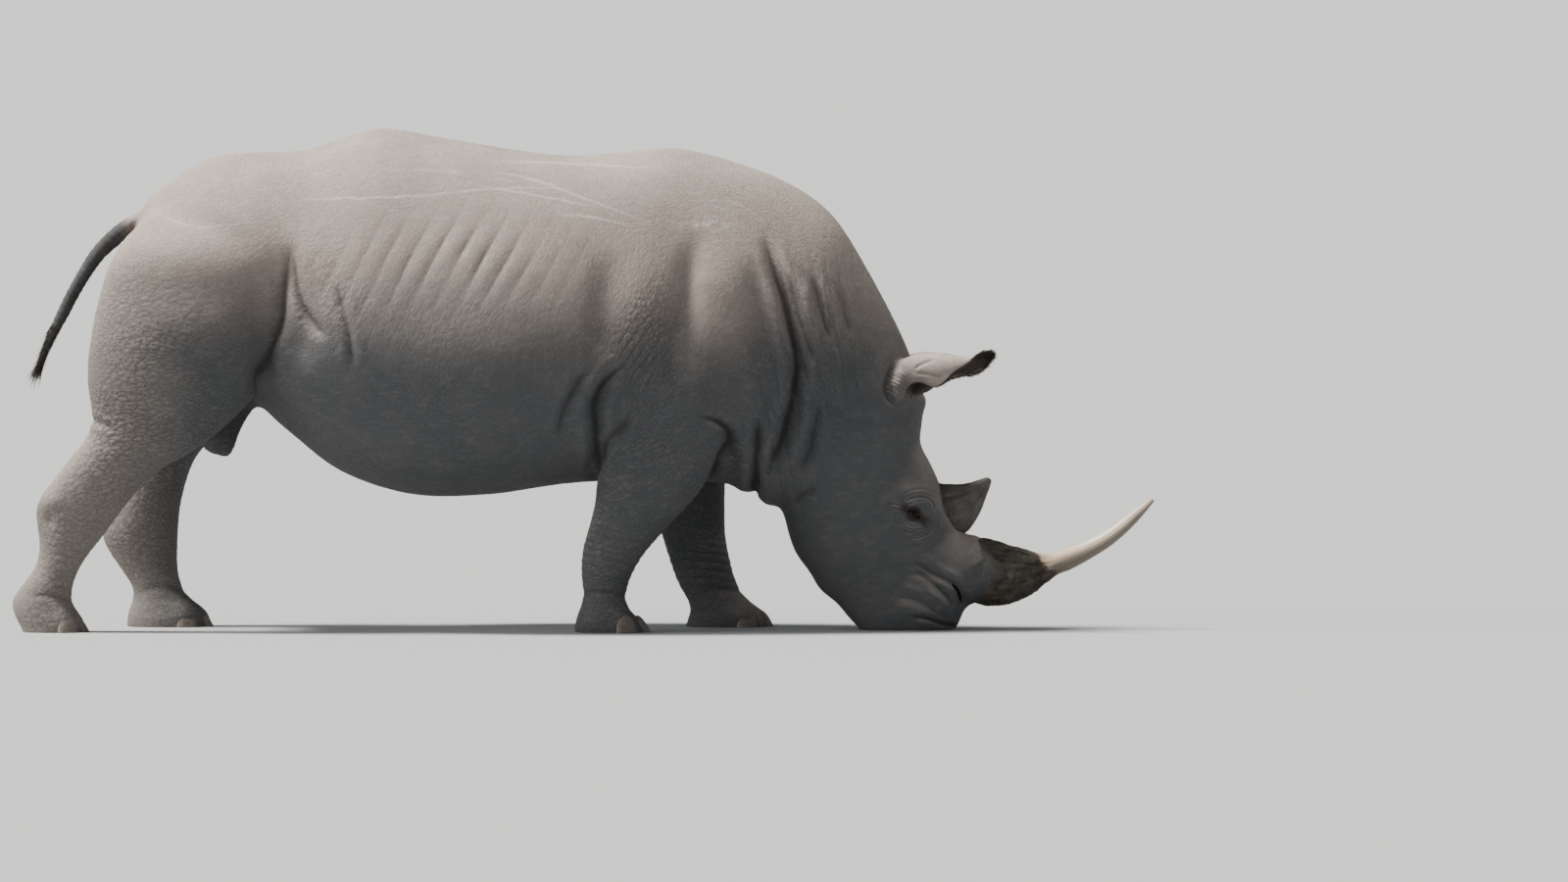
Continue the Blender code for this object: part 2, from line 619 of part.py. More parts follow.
def islands(mesh):
    """Which connected piece each vertex belongs to, by the piece's lowest vertex."""
    edges = np.empty(len(mesh.edges) * 2, np.int64)
    mesh.edges.foreach_get("vertices", edges)
    edges = edges.reshape(-1, 2)
    label = np.arange(len(mesh.vertices))
    while True:
        lowest = np.minimum(label[edges[:, 0]], label[edges[:, 1]])
        before = label.copy()
        np.minimum.at(label, edges[:, 0], lowest)
        np.minimum.at(label, edges[:, 1], lowest)
        label = label[label]
        if (before == label).all():
            return label


def part_flesh(flesh, material):
    """Makes one object of each piece that the saws left, named after the seed inside it."""
    mesh = flesh.data
    label = islands(mesh)
    points = points_of(mesh)
    pieces = {piece: points[label == piece].mean(axis=0) for piece in np.unique(label)}
    made = []
    for name, seed in SEEDS.items():
        piece = min(pieces, key=lambda one: np.linalg.norm(pieces[one] - seed))
        bm = bmesh.new()
        bm.from_mesh(mesh)
        bm.verts.ensure_lookup_table()
        others = [bm.verts[i] for i in np.flatnonzero(label != piece)]
        bmesh.ops.delete(bm, geom=others, context="VERTS")
        made.append(new_object(name, bm, material))
        del pieces[piece]
    if pieces:
        raise RuntimeError(f"the saws left {len(pieces)} pieces with no name: {list(pieces.values())}")
    discard(flesh)
    return made


# ---------------------------------------------------------------- materials


def make_material(name, colour, roughness):
    material = bpy.data.materials.new(name)
    material.use_nodes = True
    shader = material.node_tree.nodes["Principled BSDF"]
    shader.inputs["Base Color"].default_value = (*colour, 1)
    shader.inputs["Roughness"].default_value = roughness
    shader.inputs["Metallic"].default_value = 0
    return material


# ---------------------------------------------------------------- assembly


def place_in_frame(pieces):
    """Sets the size, and the origin to the middle of the animal's length and width, on the floor."""
    points = np.concatenate([points_of(piece.data) for piece in pieces])
    middle = (points.min(axis=0) + points.max(axis=0)) / 2
    move = Matrix.Translation((-middle[0], -middle[1], 0))
    for piece in pieces:
        piece.data.transform(Matrix.Scale(SHOULDER_HEIGHT / STATION_HEIGHT, 4) @ move)


def main():
    for old in list(bpy.data.objects):
        bpy.data.objects.remove(old)

    hide = make_material("hide", (0.30, 0.26, 0.23), 0.85)
    horn = make_material("horn", (0.42, 0.33, 0.24), 0.5)
    nail = make_material("nail", (0.16, 0.14, 0.12), 0.6)
    hair = make_material("hair", (0.03, 0.025, 0.02), 0.7)
    eye = make_material("eye", (0.02, 0.012, 0.008), 0.1)

    flesh = make_flesh()
    pieces = [
        make_taper("horn_front", HORN_FRONT, 16, 12, horn),
        make_taper("horn_rear", HORN_REAR, 16, 10, horn),
        make_taper("tail_tuft", TAIL_TUFT, 10, 6, hair),
        make_taper("tail", TAIL, 10, 12, hide),
        make_eye("eye_right", flesh, -1, eye),
        make_eye("eye_left", flesh, 1, eye),
        make_ear("ear_right", -1, hide),
        make_ear("ear_left", 1, hide),
    ]
    for leg_name, stations in LEGS.items():
        pieces += make_toenails(leg_name, stations, nail)
    for piece in pieces:
        boolean(flesh, grown(piece, GAP))
    trim_at_floor(flesh)
    for piece in pieces:
        if piece.name.startswith("toenail"):
            trim_at_floor(piece)
    for path, inner_y, outer_y, closed_inside in SAWS:
        boolean(flesh, make_saw(path, inner_y, outer_y, closed_inside))
    pieces += part_flesh(flesh, hide)
    place_in_frame(pieces)
    for piece in pieces:
        piece.data.shade_smooth()
        piece.data.set_sharp_from_angle(angle=math.radians(50))


main()
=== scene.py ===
import itertools
import math

import bmesh
import bpy
import numpy as np
from mathutils import Matrix, Vector


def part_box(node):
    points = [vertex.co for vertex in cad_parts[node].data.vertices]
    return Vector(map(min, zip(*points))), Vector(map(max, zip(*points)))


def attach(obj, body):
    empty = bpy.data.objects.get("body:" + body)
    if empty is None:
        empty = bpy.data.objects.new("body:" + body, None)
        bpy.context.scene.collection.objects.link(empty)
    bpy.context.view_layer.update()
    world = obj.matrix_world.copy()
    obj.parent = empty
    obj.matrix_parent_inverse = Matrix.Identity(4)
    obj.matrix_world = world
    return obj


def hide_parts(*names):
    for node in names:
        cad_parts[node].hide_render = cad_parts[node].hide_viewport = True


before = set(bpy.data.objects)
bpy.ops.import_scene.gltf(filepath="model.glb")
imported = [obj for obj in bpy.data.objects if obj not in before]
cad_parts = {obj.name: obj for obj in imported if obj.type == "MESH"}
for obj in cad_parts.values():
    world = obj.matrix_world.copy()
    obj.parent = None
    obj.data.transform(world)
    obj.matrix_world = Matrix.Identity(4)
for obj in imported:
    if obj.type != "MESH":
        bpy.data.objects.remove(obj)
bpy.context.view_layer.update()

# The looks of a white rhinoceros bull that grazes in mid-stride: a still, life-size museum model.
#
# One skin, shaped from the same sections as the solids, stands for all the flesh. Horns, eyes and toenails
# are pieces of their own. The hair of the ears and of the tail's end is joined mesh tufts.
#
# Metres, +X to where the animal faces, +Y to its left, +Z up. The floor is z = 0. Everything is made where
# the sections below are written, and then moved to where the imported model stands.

HORN_TIP_X = 2.101  # where the sections below put the tip of the front horn
SHIFT = Vector((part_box("horn_front")[1].x - HORN_TIP_X, 0, 0))

BASE_VOXEL = 0.018  # of the first, rough skin
SKIN_VOXEL = 0.0060  # of the final skin

# Sides, as the sign of y.
RIGHT, LEFT, BOTH = (-1,), (1,), (-1, 1)
SIDE_NAMES = {-1: "right", 1: "left"}

# ---------------------------------------------------------------- masses
# Each station of the barrel is a section that leans with the body:
# top x, top z, bottom x, bottom z, half width, squareness, and how much wider it is below than above.

BARREL = [
    (-1.600, 1.580, -1.715, 1.267, 0.100, 2.0, 0.00),  # tail root and perineum
    (-1.543, 1.627, -1.679, 1.069, 0.210, 2.1, 0.05),
    (-1.456, 1.685, -1.600, 0.889, 0.300, 2.2, 0.10),
    (-1.348, 1.735, -1.456, 0.799, 0.350, 2.2, 0.10),  # croup
    (-1.204, 1.742, -1.276, 0.880, 0.390, 2.2, 0.10),
    (-1.024, 1.750, -1.096, 0.744, 0.440, 2.2, 0.12),  # flank
    (-0.754, 1.825, -0.880, 0.576, 0.510, 2.2, 0.14),  # hip hump
    (-0.520, 1.793, -0.628, 0.493, 0.550, 2.2, 0.14),  # widest belly
    (-0.268, 1.750, -0.340, 0.493, 0.560, 2.2, 0.14),
    (-0.016, 1.732, -0.052, 0.536, 0.530, 2.2, 0.14),
    (0.164, 1.746, 0.164, 0.547, 0.475, 2.2, 0.18),
    (0.344, 1.760, 0.344, 0.547, 0.425, 2.2, 0.22),  # withers
    (0.560, 1.706, 0.506, 0.540, 0.385, 2.2, 0.20),
    (0.740, 1.638, 0.603, 0.515, 0.355, 2.2, 0.18),  # neck begins
    (0.920, 1.516, 0.679, 0.472, 0.320, 2.2, 0.14),
    (1.046, 1.325, 0.722, 0.461, 0.285, 2.2, 0.10),
    (1.150, 1.130, 0.733, 0.439, 0.250, 2.2, 0.05),  # nape and throat
    (1.222, 0.961, 0.743, 0.400, 0.222, 2.3, 0.00),  # poll
    (1.247, 0.781, 0.761, 0.342, 0.203, 2.4, -0.04),
    (1.269, 0.637, 0.790, 0.288, 0.192, 2.4, -0.06),  # brow
    (1.323, 0.500, 0.830, 0.223, 0.178, 2.4, -0.06),
    (1.375, 0.349, 0.884, 0.151, 0.152, 2.5, -0.04),
    (1.395, 0.223, 0.938, 0.094, 0.142, 2.6, 0.00),  # nose
    (1.400, 0.115, 0.977, 0.043, 0.148, 2.8, 0.00),
    (1.388, 0.036, 1.013, 0.007, 0.152, 3.0, 0.00),  # square lips
    (1.359, -0.014, 1.049, -0.029, 0.130, 3.0, 0.00),
]

# Each station of a limb: front x, front z, back x, back z, centre y, half width.

FORELEG_RIGHT = [
    (0.589, 1.267, 0.200, 1.357, -0.270, 0.110),  # shoulder blade
    (0.617, 1.051, 0.121, 1.123, -0.290, 0.130),
    (0.585, 0.871, 0.063, 0.925, -0.300, 0.140),
    (0.531, 0.727, 0.052, 0.763, -0.300, 0.140),  # elbow
    (0.499, 0.630, 0.049, 0.619, -0.295, 0.135),
    (0.423, 0.500, 0.041, 0.482, -0.285, 0.122),
    (0.311, 0.382, 0.013, 0.374, -0.275, 0.108),
    (0.221, 0.274, -0.009, 0.277, -0.265, 0.096),  # wrist
    (0.178, 0.194, -0.009, 0.194, -0.260, 0.090),
    (0.160, 0.130, 0.002, 0.137, -0.255, 0.094),
    (0.178, 0.065, -0.016, 0.079, -0.255, 0.110),
    (0.236, 0.007, -0.034, 0.029, -0.255, 0.125),  # sole
    (0.250, -0.036, -0.034, -0.036, -0.255, 0.128),
]

FORELEG_LEFT = [
    (0.625, 1.267, 0.236, 1.321, 0.270, 0.110),
    (0.625, 1.051, 0.164, 1.087, 0.290, 0.130),
    (0.585, 0.871, 0.164, 0.889, 0.300, 0.140),
    (0.553, 0.727, 0.193, 0.727, 0.300, 0.135),
    (0.531, 0.583, 0.229, 0.565, 0.290, 0.125),
    (0.524, 0.457, 0.257, 0.432, 0.280, 0.112),
    (0.527, 0.331, 0.293, 0.320, 0.270, 0.100),
    (0.545, 0.234, 0.326, 0.223, 0.262, 0.092),
    (0.563, 0.166, 0.355, 0.148, 0.258, 0.094),
    (0.603, 0.101, 0.391, 0.090, 0.255, 0.108),
    (0.661, 0.043, 0.394, 0.043, 0.255, 0.125),
    (0.689, 0.007, 0.376, 0.007, 0.255, 0.128),
    (0.697, -0.036, 0.376, -0.036, 0.255, 0.128),
]

HINDLEG_RIGHT = [
    (-1.197, 1.573, -1.582, 1.548, -0.200, 0.120),  # hip
    (-1.075, 1.404, -1.706, 1.411, -0.250, 0.145),
    (-1.075, 1.213, -1.772, 1.231, -0.275, 0.155),
    (-1.118, 1.051, -1.798, 1.069, -0.285, 0.155),
    (-1.175, 0.900, -1.804, 0.907, -0.285, 0.145),
    (-1.276, 0.781, -1.795, 0.785, -0.280, 0.125),  # stifle
    (-1.420, 0.666, -1.816, 0.713, -0.275, 0.112),
    (-1.539, 0.601, -1.867, 0.648, -0.270, 0.104),
    (-1.600, 0.547, -1.931, 0.569, -0.268, 0.098),
    (-1.654, 0.482, -1.985, 0.500, -0.265, 0.095),
    (-1.715, 0.403, -2.011, 0.439, -0.262, 0.092),  # hock
    (-1.773, 0.328, -2.000, 0.367, -0.260, 0.086),
    (-1.820, 0.270, -1.993, 0.306, -0.258, 0.082),
    (-1.852, 0.212, -2.007, 0.241, -0.256, 0.082),
    (-1.870, 0.151, -2.054, 0.173, -0.254, 0.088),
    (-1.870, 0.097, -2.093, 0.115, -0.252, 0.100),  # heel
    (-1.838, 0.043, -2.075, 0.050, -0.252, 0.112),
    (-1.823, 0.007, -2.047, 0.007, -0.252, 0.115),
    (-1.823, -0.036, -2.047, -0.036, -0.252, 0.115),
]

HINDLEG_LEFT = [
    (-1.197, 1.573, -1.582, 1.548, 0.200, 0.120),
    (-1.075, 1.404, -1.694, 1.411, 0.250, 0.145),
    (-1.067, 1.213, -1.751, 1.231, 0.275, 0.155),
    (-1.103, 1.051, -1.766, 1.069, 0.285, 0.155),
    (-1.161, 0.900, -1.751, 0.907, 0.285, 0.145),
    (-1.255, 0.781, -1.715, 0.770, 0.280, 0.125),
    (-1.363, 0.691, -1.694, 0.673, 0.275, 0.112),
    (-1.424, 0.619, -1.701, 0.576, 0.270, 0.104),
    (-1.456, 0.540, -1.726, 0.482, 0.268, 0.098),
    (-1.478, 0.454, -1.759, 0.403, 0.265, 0.095),
    (-1.489, 0.356, -1.773, 0.331, 0.262, 0.092),
    (-1.492, 0.274, -1.737, 0.256, 0.260, 0.086),
    (-1.489, 0.202, -1.687, 0.184, 0.258, 0.082),
    (-1.471, 0.140, -1.654, 0.130, 0.256, 0.086),
    (-1.427, 0.086, -1.665, 0.083, 0.254, 0.100),
    (-1.384, 0.036, -1.683, 0.036, 0.252, 0.112),
    (-1.373, 0.004, -1.683, 0.004, 0.252, 0.115),
    (-1.373, -0.036, -1.683, -0.036, 0.252, 0.115),
]

TAIL = [
    (-1.535, 1.610, -1.571, 1.512, 0, 0.046),
    (-1.623, 1.543, -1.640, 1.478, 0, 0.039),
    (-1.720, 1.476, -1.696, 1.420, 0, 0.034),
    (-1.798, 1.398, -1.756, 1.366, 0, 0.031),
    (-1.853, 1.314, -1.808, 1.294, 0, 0.029),
    (-1.892, 1.244, -1.852, 1.221, 0, 0.026),
    (-1.933, 1.159, -1.894, 1.142, 0, 0.021),
    (-1.960, 1.095, -1.929, 1.082, 0, 0.017),
    (-1.984, 1.030, -1.961, 1.020, 0, 0.013),
    (-1.998, 0.982, -1.979, 0.976, 0, 0.010),
]

SHEATH = [
    (-1.160, 0.900, -1.370, 0.860, 0, 0.050),
    (-1.210, 0.806, -1.392, 0.763, 0, 0.052),
    (-1.255, 0.727, -1.406, 0.706, 0, 0.046),
    (-1.273, 0.662, -1.406, 0.669, 0, 0.040),
    (-1.290, 0.626, -1.377, 0.640, 0, 0.026),
]

# The skin of the nose that carries the front horn.
NOSE = [
    (1.250, 0.420, 1.230, 0.060, 0, 0.110),
    (1.330, 0.385, 1.320, 0.072, 0, 0.125),
    (1.400, 0.352, 1.392, 0.088, 0, 0.124),
    (1.455, 0.334, 1.450, 0.094, 0, 0.112),
    (1.485, 0.322, 1.482, 0.100, 0, 0.100),
]

HORN_FRONT = [
    (1.410, 0.330, 1.400, 0.112, 0, 0.095),
    (1.470, 0.334, 1.464, 0.090, 0, 0.110),
    (1.532, 0.320, 1.539, 0.086, 0, 0.105),
    (1.604, 0.299, 1.622, 0.112, 0, 0.086),
    (1.658, 0.284, 1.676, 0.151, 0, 0.062),
    (1.701, 0.274, 1.726, 0.191, 0, 0.042),
    (1.766, 0.295, 1.793, 0.219, 0, 0.037),
    (1.838, 0.320, 1.865, 0.258, 0, 0.032),
    (1.913, 0.356, 1.942, 0.307, 0, 0.026),
    (1.978, 0.400, 2.007, 0.363, 0, 0.020),
    (2.036, 0.446, 2.060, 0.420, 0, 0.013),
    (2.090, 0.479, 2.101, 0.472, 0, 0.003),
]

HORN_REAR = [
    (1.265, 0.554, 1.345, 0.310, 0, 0.056),
    (1.316, 0.536, 1.402, 0.346, 0, 0.058),
    (1.370, 0.533, 1.438, 0.389, 0, 0.046),
    (1.424, 0.540, 1.467, 0.443, 0, 0.030),
    (1.464, 0.552, 1.486, 0.496, 0, 0.019),
    (1.482, 0.557, 1.497, 0.524, 0, 0.014),
    (1.492, 0.556, 1.501, 0.538, 0, 0.009),
    (1.498, 0.552, 1.502, 0.545, 0, 0.003),
]

# An ear, on the right side: x, y, z of the cup's middle, its radius across, its radius upwards,
# the angles from its back that the wall reaches on the outer and on the inner side, and the wall's thickness.
EAR = [
    (1.130, -0.070, 0.890, 0.055, 0.062, 165, 165, 0.018),
    (1.185, -0.135, 0.925, 0.060, 0.076, 140, 163, 0.018),
    (1.225, -0.168, 0.937, 0.062, 0.079, 108, 155, 0.017),
    (1.255, -0.182, 0.943, 0.063, 0.080, 104, 150, 0.016),
    (1.275, -0.190, 0.945, 0.063, 0.078, 134, 146, 0.015),
    (1.300, -0.195, 0.948, 0.063, 0.074, 138, 140, 0.014),
    (1.322, -0.198, 0.951, 0.062, 0.071, 130, 134, 0.014),
    (1.345, -0.200, 0.955, 0.060, 0.065, 104, 128, 0.013),
    (1.385, -0.203, 0.961, 0.054, 0.055, 84, 124, 0.012),
    (1.424, -0.207, 0.960, 0.046, 0.046, 60, 132, 0.012),
    (1.455, -0.211, 0.974, 0.037, 0.047, 28, 128, 0.011),
    (1.485, -0.214, 0.993, 0.030, 0.046, 8, 112, 0.011),
    (1.508, -0.216, 1.014, 0.020, 0.026, 2, 95, 0.010),
]
EAR_OPENING = (0.10, 0.12, -0.98)  # where the cup of the right ear opens to
# The thick root of the right ear, as places along a bent swelling, with its radii.
EAR_ROOT = [
    ((1.158, -0.190, 0.872), (0.026, 0.040, 0.030)),
    ((1.160, -0.190, 0.905), (0.032, 0.046, 0.036)),
    ((1.172, -0.180, 0.935), (0.036, 0.048, 0.038)),
    ((1.192, -0.168, 0.960), (0.042, 0.048, 0.042)),
]

LEGS = {
    "foreleg_right": FORELEG_RIGHT,
    "foreleg_left": FORELEG_LEFT,
    "hindleg_right": HINDLEG_RIGHT,
    "hindleg_left": HINDLEG_LEFT,
}
HIP_DEPTH, HIP_HALF_WIDTH = 0.145, 0.075  # the first station of a hind leg, sunk into the trunk for the skin


# ---------------------------------------------------------------- curves and lofts


def curve_rows(rows, places, count):
    """Rows of numbers at equal steps along a smooth curve; places are the rows' points in the XZ plane."""
    steps = np.linalg.norm(np.diff(places, axis=0), axis=1)
    station = np.concatenate([[0], np.cumsum(steps)])
    slope = np.gradient(rows, station, axis=0)
    at = np.linspace(0, station[-1], count)
    first = np.clip(np.searchsorted(station, at, side="right") - 1, 0, len(station) - 2)
    span = (station[first + 1] - station[first])[:, None]
    u = (at - station[first])[:, None] / span
    start = (2 * u**3 - 3 * u**2 + 1) * rows[first] + (u**3 - 2 * u**2 + u) * span * slope[first]
    end = (3 * u**2 - 2 * u**3) * rows[first + 1] + (u**3 - u**2) * span * slope[first + 1]
    return start + end


def curve_through(path, count=24):
    """More points along a smooth curve through the path's own."""
    path = np.array(path, float)
    return curve_rows(path, path, count) if len(path) > 2 else path


def middles(rows):
    """The middle of each section of a limb, from its two ends in the XZ plane."""
    return (rows[:, 0:2] + rows[:, 2:4]) / 2


def resample(stations, count):
    """Sections at equal steps along a limb."""
    rows = np.array(stations, float)
    return curve_rows(rows, middles(rows), count)


def section(front, back, centre_y, half_width, power, pear, count):
    """A closed ring of points: a superellipse between two points of the XZ plane."""
    angle = 2 * np.pi * np.arange(count) / count
    cosine, sine = np.cos(angle), np.sin(angle)
    along = np.sign(cosine) * np.abs(cosine) ** (2 / power)
    across = np.sign(sine) * np.abs(sine) ** (2 / power)
    middle = (front + back) / 2
    half = (front - back) / 2
    ring = np.empty((count, 3))
    ring[:, 0] = middle[0] + half[0] * along
    ring[:, 1] = centre_y + half_width * across * (1 - pear * along)
    ring[:, 2] = middle[1] + half[1] * along
    return ring


def add_tube(bm, rings):
    """A closed tube through rings of equally many points, with flat ends."""
    loops = [[bm.verts.new(point) for point in ring] for ring in rings]
    count = len(loops[0])
    for near, far in zip(loops, loops[1:]):
        for i in range(count):
            j = (i + 1) % count
            bm.faces.new((near[i], near[j], far[j], far[i]))
    bm.faces.new(reversed(loops[0]))
    bm.faces.new(loops[-1])


def limb_rings(stations, around, along, power=2.2):
    rows = resample(stations, along)
    return np.array([section(r[0:2], r[2:4], r[4], r[5], power, 0, around) for r in rows])


def barrel_rings(stations, around, along):
    rows = resample(stations, along)
    return [section(r[0:2], r[2:4], 0, r[4], r[5], r[6], around) for r in rows]


# ---------------------------------------------------------------- meshes and arrays


def add_object(name, data):
    obj = bpy.data.objects.new(name, data)
    bpy.context.scene.collection.objects.link(obj)
    return obj


def new_object(name, bm):
    """An object with what a bmesh holds, its faces turned outwards."""
    bmesh.ops.recalc_face_normals(bm, faces=bm.faces[:])
    mesh = bpy.data.meshes.new(name)
    bm.to_mesh(mesh)
    bm.free()
    return add_object(name, mesh)


def edit(mesh, change):
    """Puts a mesh through one change, made on it as a bmesh."""
    bm = bmesh.new()
    bm.from_mesh(mesh)
    change(bm)
    bm.to_mesh(mesh)
    bm.free()


def mesh_of(name, points, faces):
    mesh = bpy.data.meshes.new(name)
    mesh.from_pydata(points.reshape(-1, 3).tolist(), [], faces)
    mesh.update()
    return mesh


def ring_faces(index):
    """Quads between rings of points, from the points' numbers: rings along by points around."""
    turned = np.roll(index, -1, axis=-1)
    corners = (index[..., :-1, :], turned[..., :-1, :], turned[..., 1:, :], index[..., 1:, :])
    return np.stack(corners, axis=-1).reshape(-1, 4).tolist()


def apply_modifiers(obj):
    """Replaces the object's mesh with its evaluated one."""
    graph = bpy.context.evaluated_depsgraph_get()
    mesh = bpy.data.meshes.new_from_object(obj.evaluated_get(graph))
    obj.modifiers.clear()
    obj.data = mesh


def points_of(mesh):
    points = np.empty(len(mesh.vertices) * 3, np.float32)
    mesh.vertices.foreach_get("co", points)
    return points.reshape(-1, 3).astype(float)


def normals_of(mesh):
    normals = np.empty(len(mesh.vertices) * 3, np.float32)
    mesh.vertex_normals.foreach_get("vector", normals)
    return normals.reshape(-1, 3).astype(float)


def set_points(mesh, points):
    mesh.vertices.foreach_set("co", points.astype(np.float32).ravel())
    mesh.update()


def push_out(mesh, distance):
    """Moves each point along its normal."""
    set_points(mesh, points_of(mesh) + normals_of(mesh) * distance[:, None])


def edges_of(mesh):
    edges = np.empty(len(mesh.edges) * 2, np.int32)
    mesh.edges.foreach_get("vertices", edges)
    return edges.reshape(-1, 2)


def neighbour_mean(edges, values):
    """The mean of each point's neighbours, for an array with a row for each point."""
    count = np.maximum(np.bincount(edges.ravel(), minlength=len(values)), 1)
    columns = values.reshape(len(values), -1)
    means = np.empty_like(columns)
    for i, column in enumerate(columns.T):
        total = np.bincount(edges[:, 0], column[edges[:, 1]], len(values))
        total += np.bincount(edges[:, 1], column[edges[:, 0]], len(values))
        means[:, i] = total / count
    return means.reshape(values.shape)


def smooth(mesh, rounds, strength=0.5):
    """Moves each point towards the middle of its neighbours; strength may differ from point to point."""
    edges = edges_of(mesh)
    points = points_of(mesh)
    strength = np.broadcast_to(np.asarray(strength, float).reshape(-1, 1), points.shape)
    for _ in range(rounds):
        points += strength * (neighbour_mean(edges, points) - points)
    set_points(mesh, points)


def remesh(obj, voxel):
    modifier = obj.modifiers.new("Remesh", "REMESH")
    modifier.mode = "VOXEL"
    modifier.voxel_size = voxel
    apply_modifiers(obj)


def store(mesh, name, values, kind="FLOAT"):
    """Keeps a number or a vector for each point, for the materials to read."""
    attribute = mesh.attributes.new(name, kind, "POINT")
    field = "vector" if kind == "FLOAT_VECTOR" else "value"
    attribute.data.foreach_set(field, np.asarray(values, np.float32).ravel())


def ramp(value, low, high):
    t = np.clip((value - low) / (high - low), 0, 1)
    return t * t * (3 - 2 * t)


def unit(vector):
    return np.asarray(vector, float) / np.linalg.norm(vector)


def units(vectors):
    """Each row of vectors at a length of 1."""
    return vectors / np.maximum(np.linalg.norm(vectors, axis=1, keepdims=True), 1e-6)


# ---------------------------------------------------------------- noise and wrinkle patterns


def lattice(cells, seed):
    """A random number from 0 to 1 for each whole-numbered cell, always the same one."""
    mixed = cells[:, 0] * 374761393 + cells[:, 1] * 668265263 + cells[:, 2] * 1440662683 + seed * 974634777
    mixed = (mixed ^ (mixed >> 13)) * 1274126177
    mixed = mixed ^ (mixed >> 16)
    return (mixed & 0xFFFFFF) / 0xFFFFFF


def noise(points, size, seed=0, octaves=1):
    """Smooth random values from about -1 to 1, in lumps of that size, with finer ones on top."""
    total = np.zeros(len(points))
    weight, reach = 1.0, 0.0
    for octave in range(octaves):
        scaled = points * (2**octave / size) + 31.7 * octave
        cells = np.floor(scaled).astype(np.int64)
        part = scaled - cells
        part = part * part * (3 - 2 * part)
        value = np.zeros(len(points))
        for corner in itertools.product((0, 1), repeat=3):
            share = np.prod(np.where(corner, part, 1 - part), axis=1)
            value += share * lattice(cells + np.array(corner), seed + octave)
        total += weight * (2 * value - 1)
        reach += weight
        weight /= 2
    return total / reach


def drift(points, size, seeds):
    """Smooth random numbers from about -1 to 1, one for each seed, for every point."""
    return np.stack([noise(points, size, seed, 2) for seed in seeds], axis=1)


def mosaic(points, spacing, along, stretch, seed):
    """Cells of skin between creases, longer along a direction that is given for each point.

    Returns how far each point is from the nearest crease, 0 to about 1, and a random number for its cell.
    """
    cells = np.floor(points / spacing).astype(np.int64)
    first = np.full(len(points), np.inf)
    second = np.full(len(points), np.inf)
    tone = np.zeros(len(points))
    squash = 1 - 1 / stretch**2
    for offset in itertools.product((-1, 0, 1), repeat=3):
        near = cells + np.array(offset)
        jitter = np.stack([lattice(near, seed + axis) for axis in range(3)], axis=1)
        away = (near + jitter) * spacing - points
        lengthwise = (away * along).sum(axis=1)
        distance = (away**2).sum(axis=1) - squash * lengthwise**2
        closer = distance < first
        second = np.where(closer, first, np.minimum(second, distance))
        tone = np.where(closer, jitter[:, 0], tone)
        first = np.where(closer, distance, first)
    edge = (np.sqrt(second) - np.sqrt(first)) / (spacing * 0.75)
    return np.clip(edge, 0, 1), tone


def ridges(points, across, spacing, wobble, seed):
    """Parallel rounded rolls with sharp creases between them, 0 in a crease to 1 on a roll."""
    phase = points @ unit(across) / spacing + wobble * noise(points, spacing * 4, seed, 2)
    return np.abs(np.sin(np.pi * phase))


def blob(points, centre, radii, sides=BOTH):
    """1 at a centre, which is given on the right side, falling to nothing at about twice the radii."""
    value = np.zeros(len(points))
    for side in sides:
        place = np.array(centre) * (1, -side, 1)
        value = np.maximum(value, np.exp(-(((points - place) / radii) ** 2).sum(axis=1)))
    return value


def path_distance(points, path):
    """How far XZ points lie from a path, signed (ahead of it is positive), and the share along it."""
    path = np.array(path, float)
    nearest = np.full(len(points), np.inf)
    signed = np.zeros(len(points))
    share = np.zeros(len(points))
    lengths = np.linalg.norm(np.diff(path, axis=0), axis=1)
    travelled = np.concatenate([[0], np.cumsum(lengths)])
    for i, length in enumerate(lengths):
        direction = (path[i + 1] - path[i]) / length
        offset = points - path[i]
        along = offset @ direction
        held = np.clip(along, 0, length)
        away = offset - held[:, None] * direction
        distance = np.linalg.norm(away, axis=1)
        closer = distance < nearest
        side = np.where(offset[:, 0] * -direction[1] + offset[:, 1] * direction[0] > 0, 1, -1)
        nearest = np.where(closer, distance, nearest)
        signed = np.where(closer, distance * side, signed)
        share = np.where(closer, (travelled[i] + held) / travelled[-1], share)
    return signed, share


def near_path(flat, path, reach):
    """Which XZ points lie within reach of the box round a path."""
    low, high = path.min(axis=0) - reach, path.max(axis=0) + reach
    return np.flatnonzero(((flat > low) & (flat < high)).all(axis=1))


# ---------------------------------------------------------------- where the skin folds

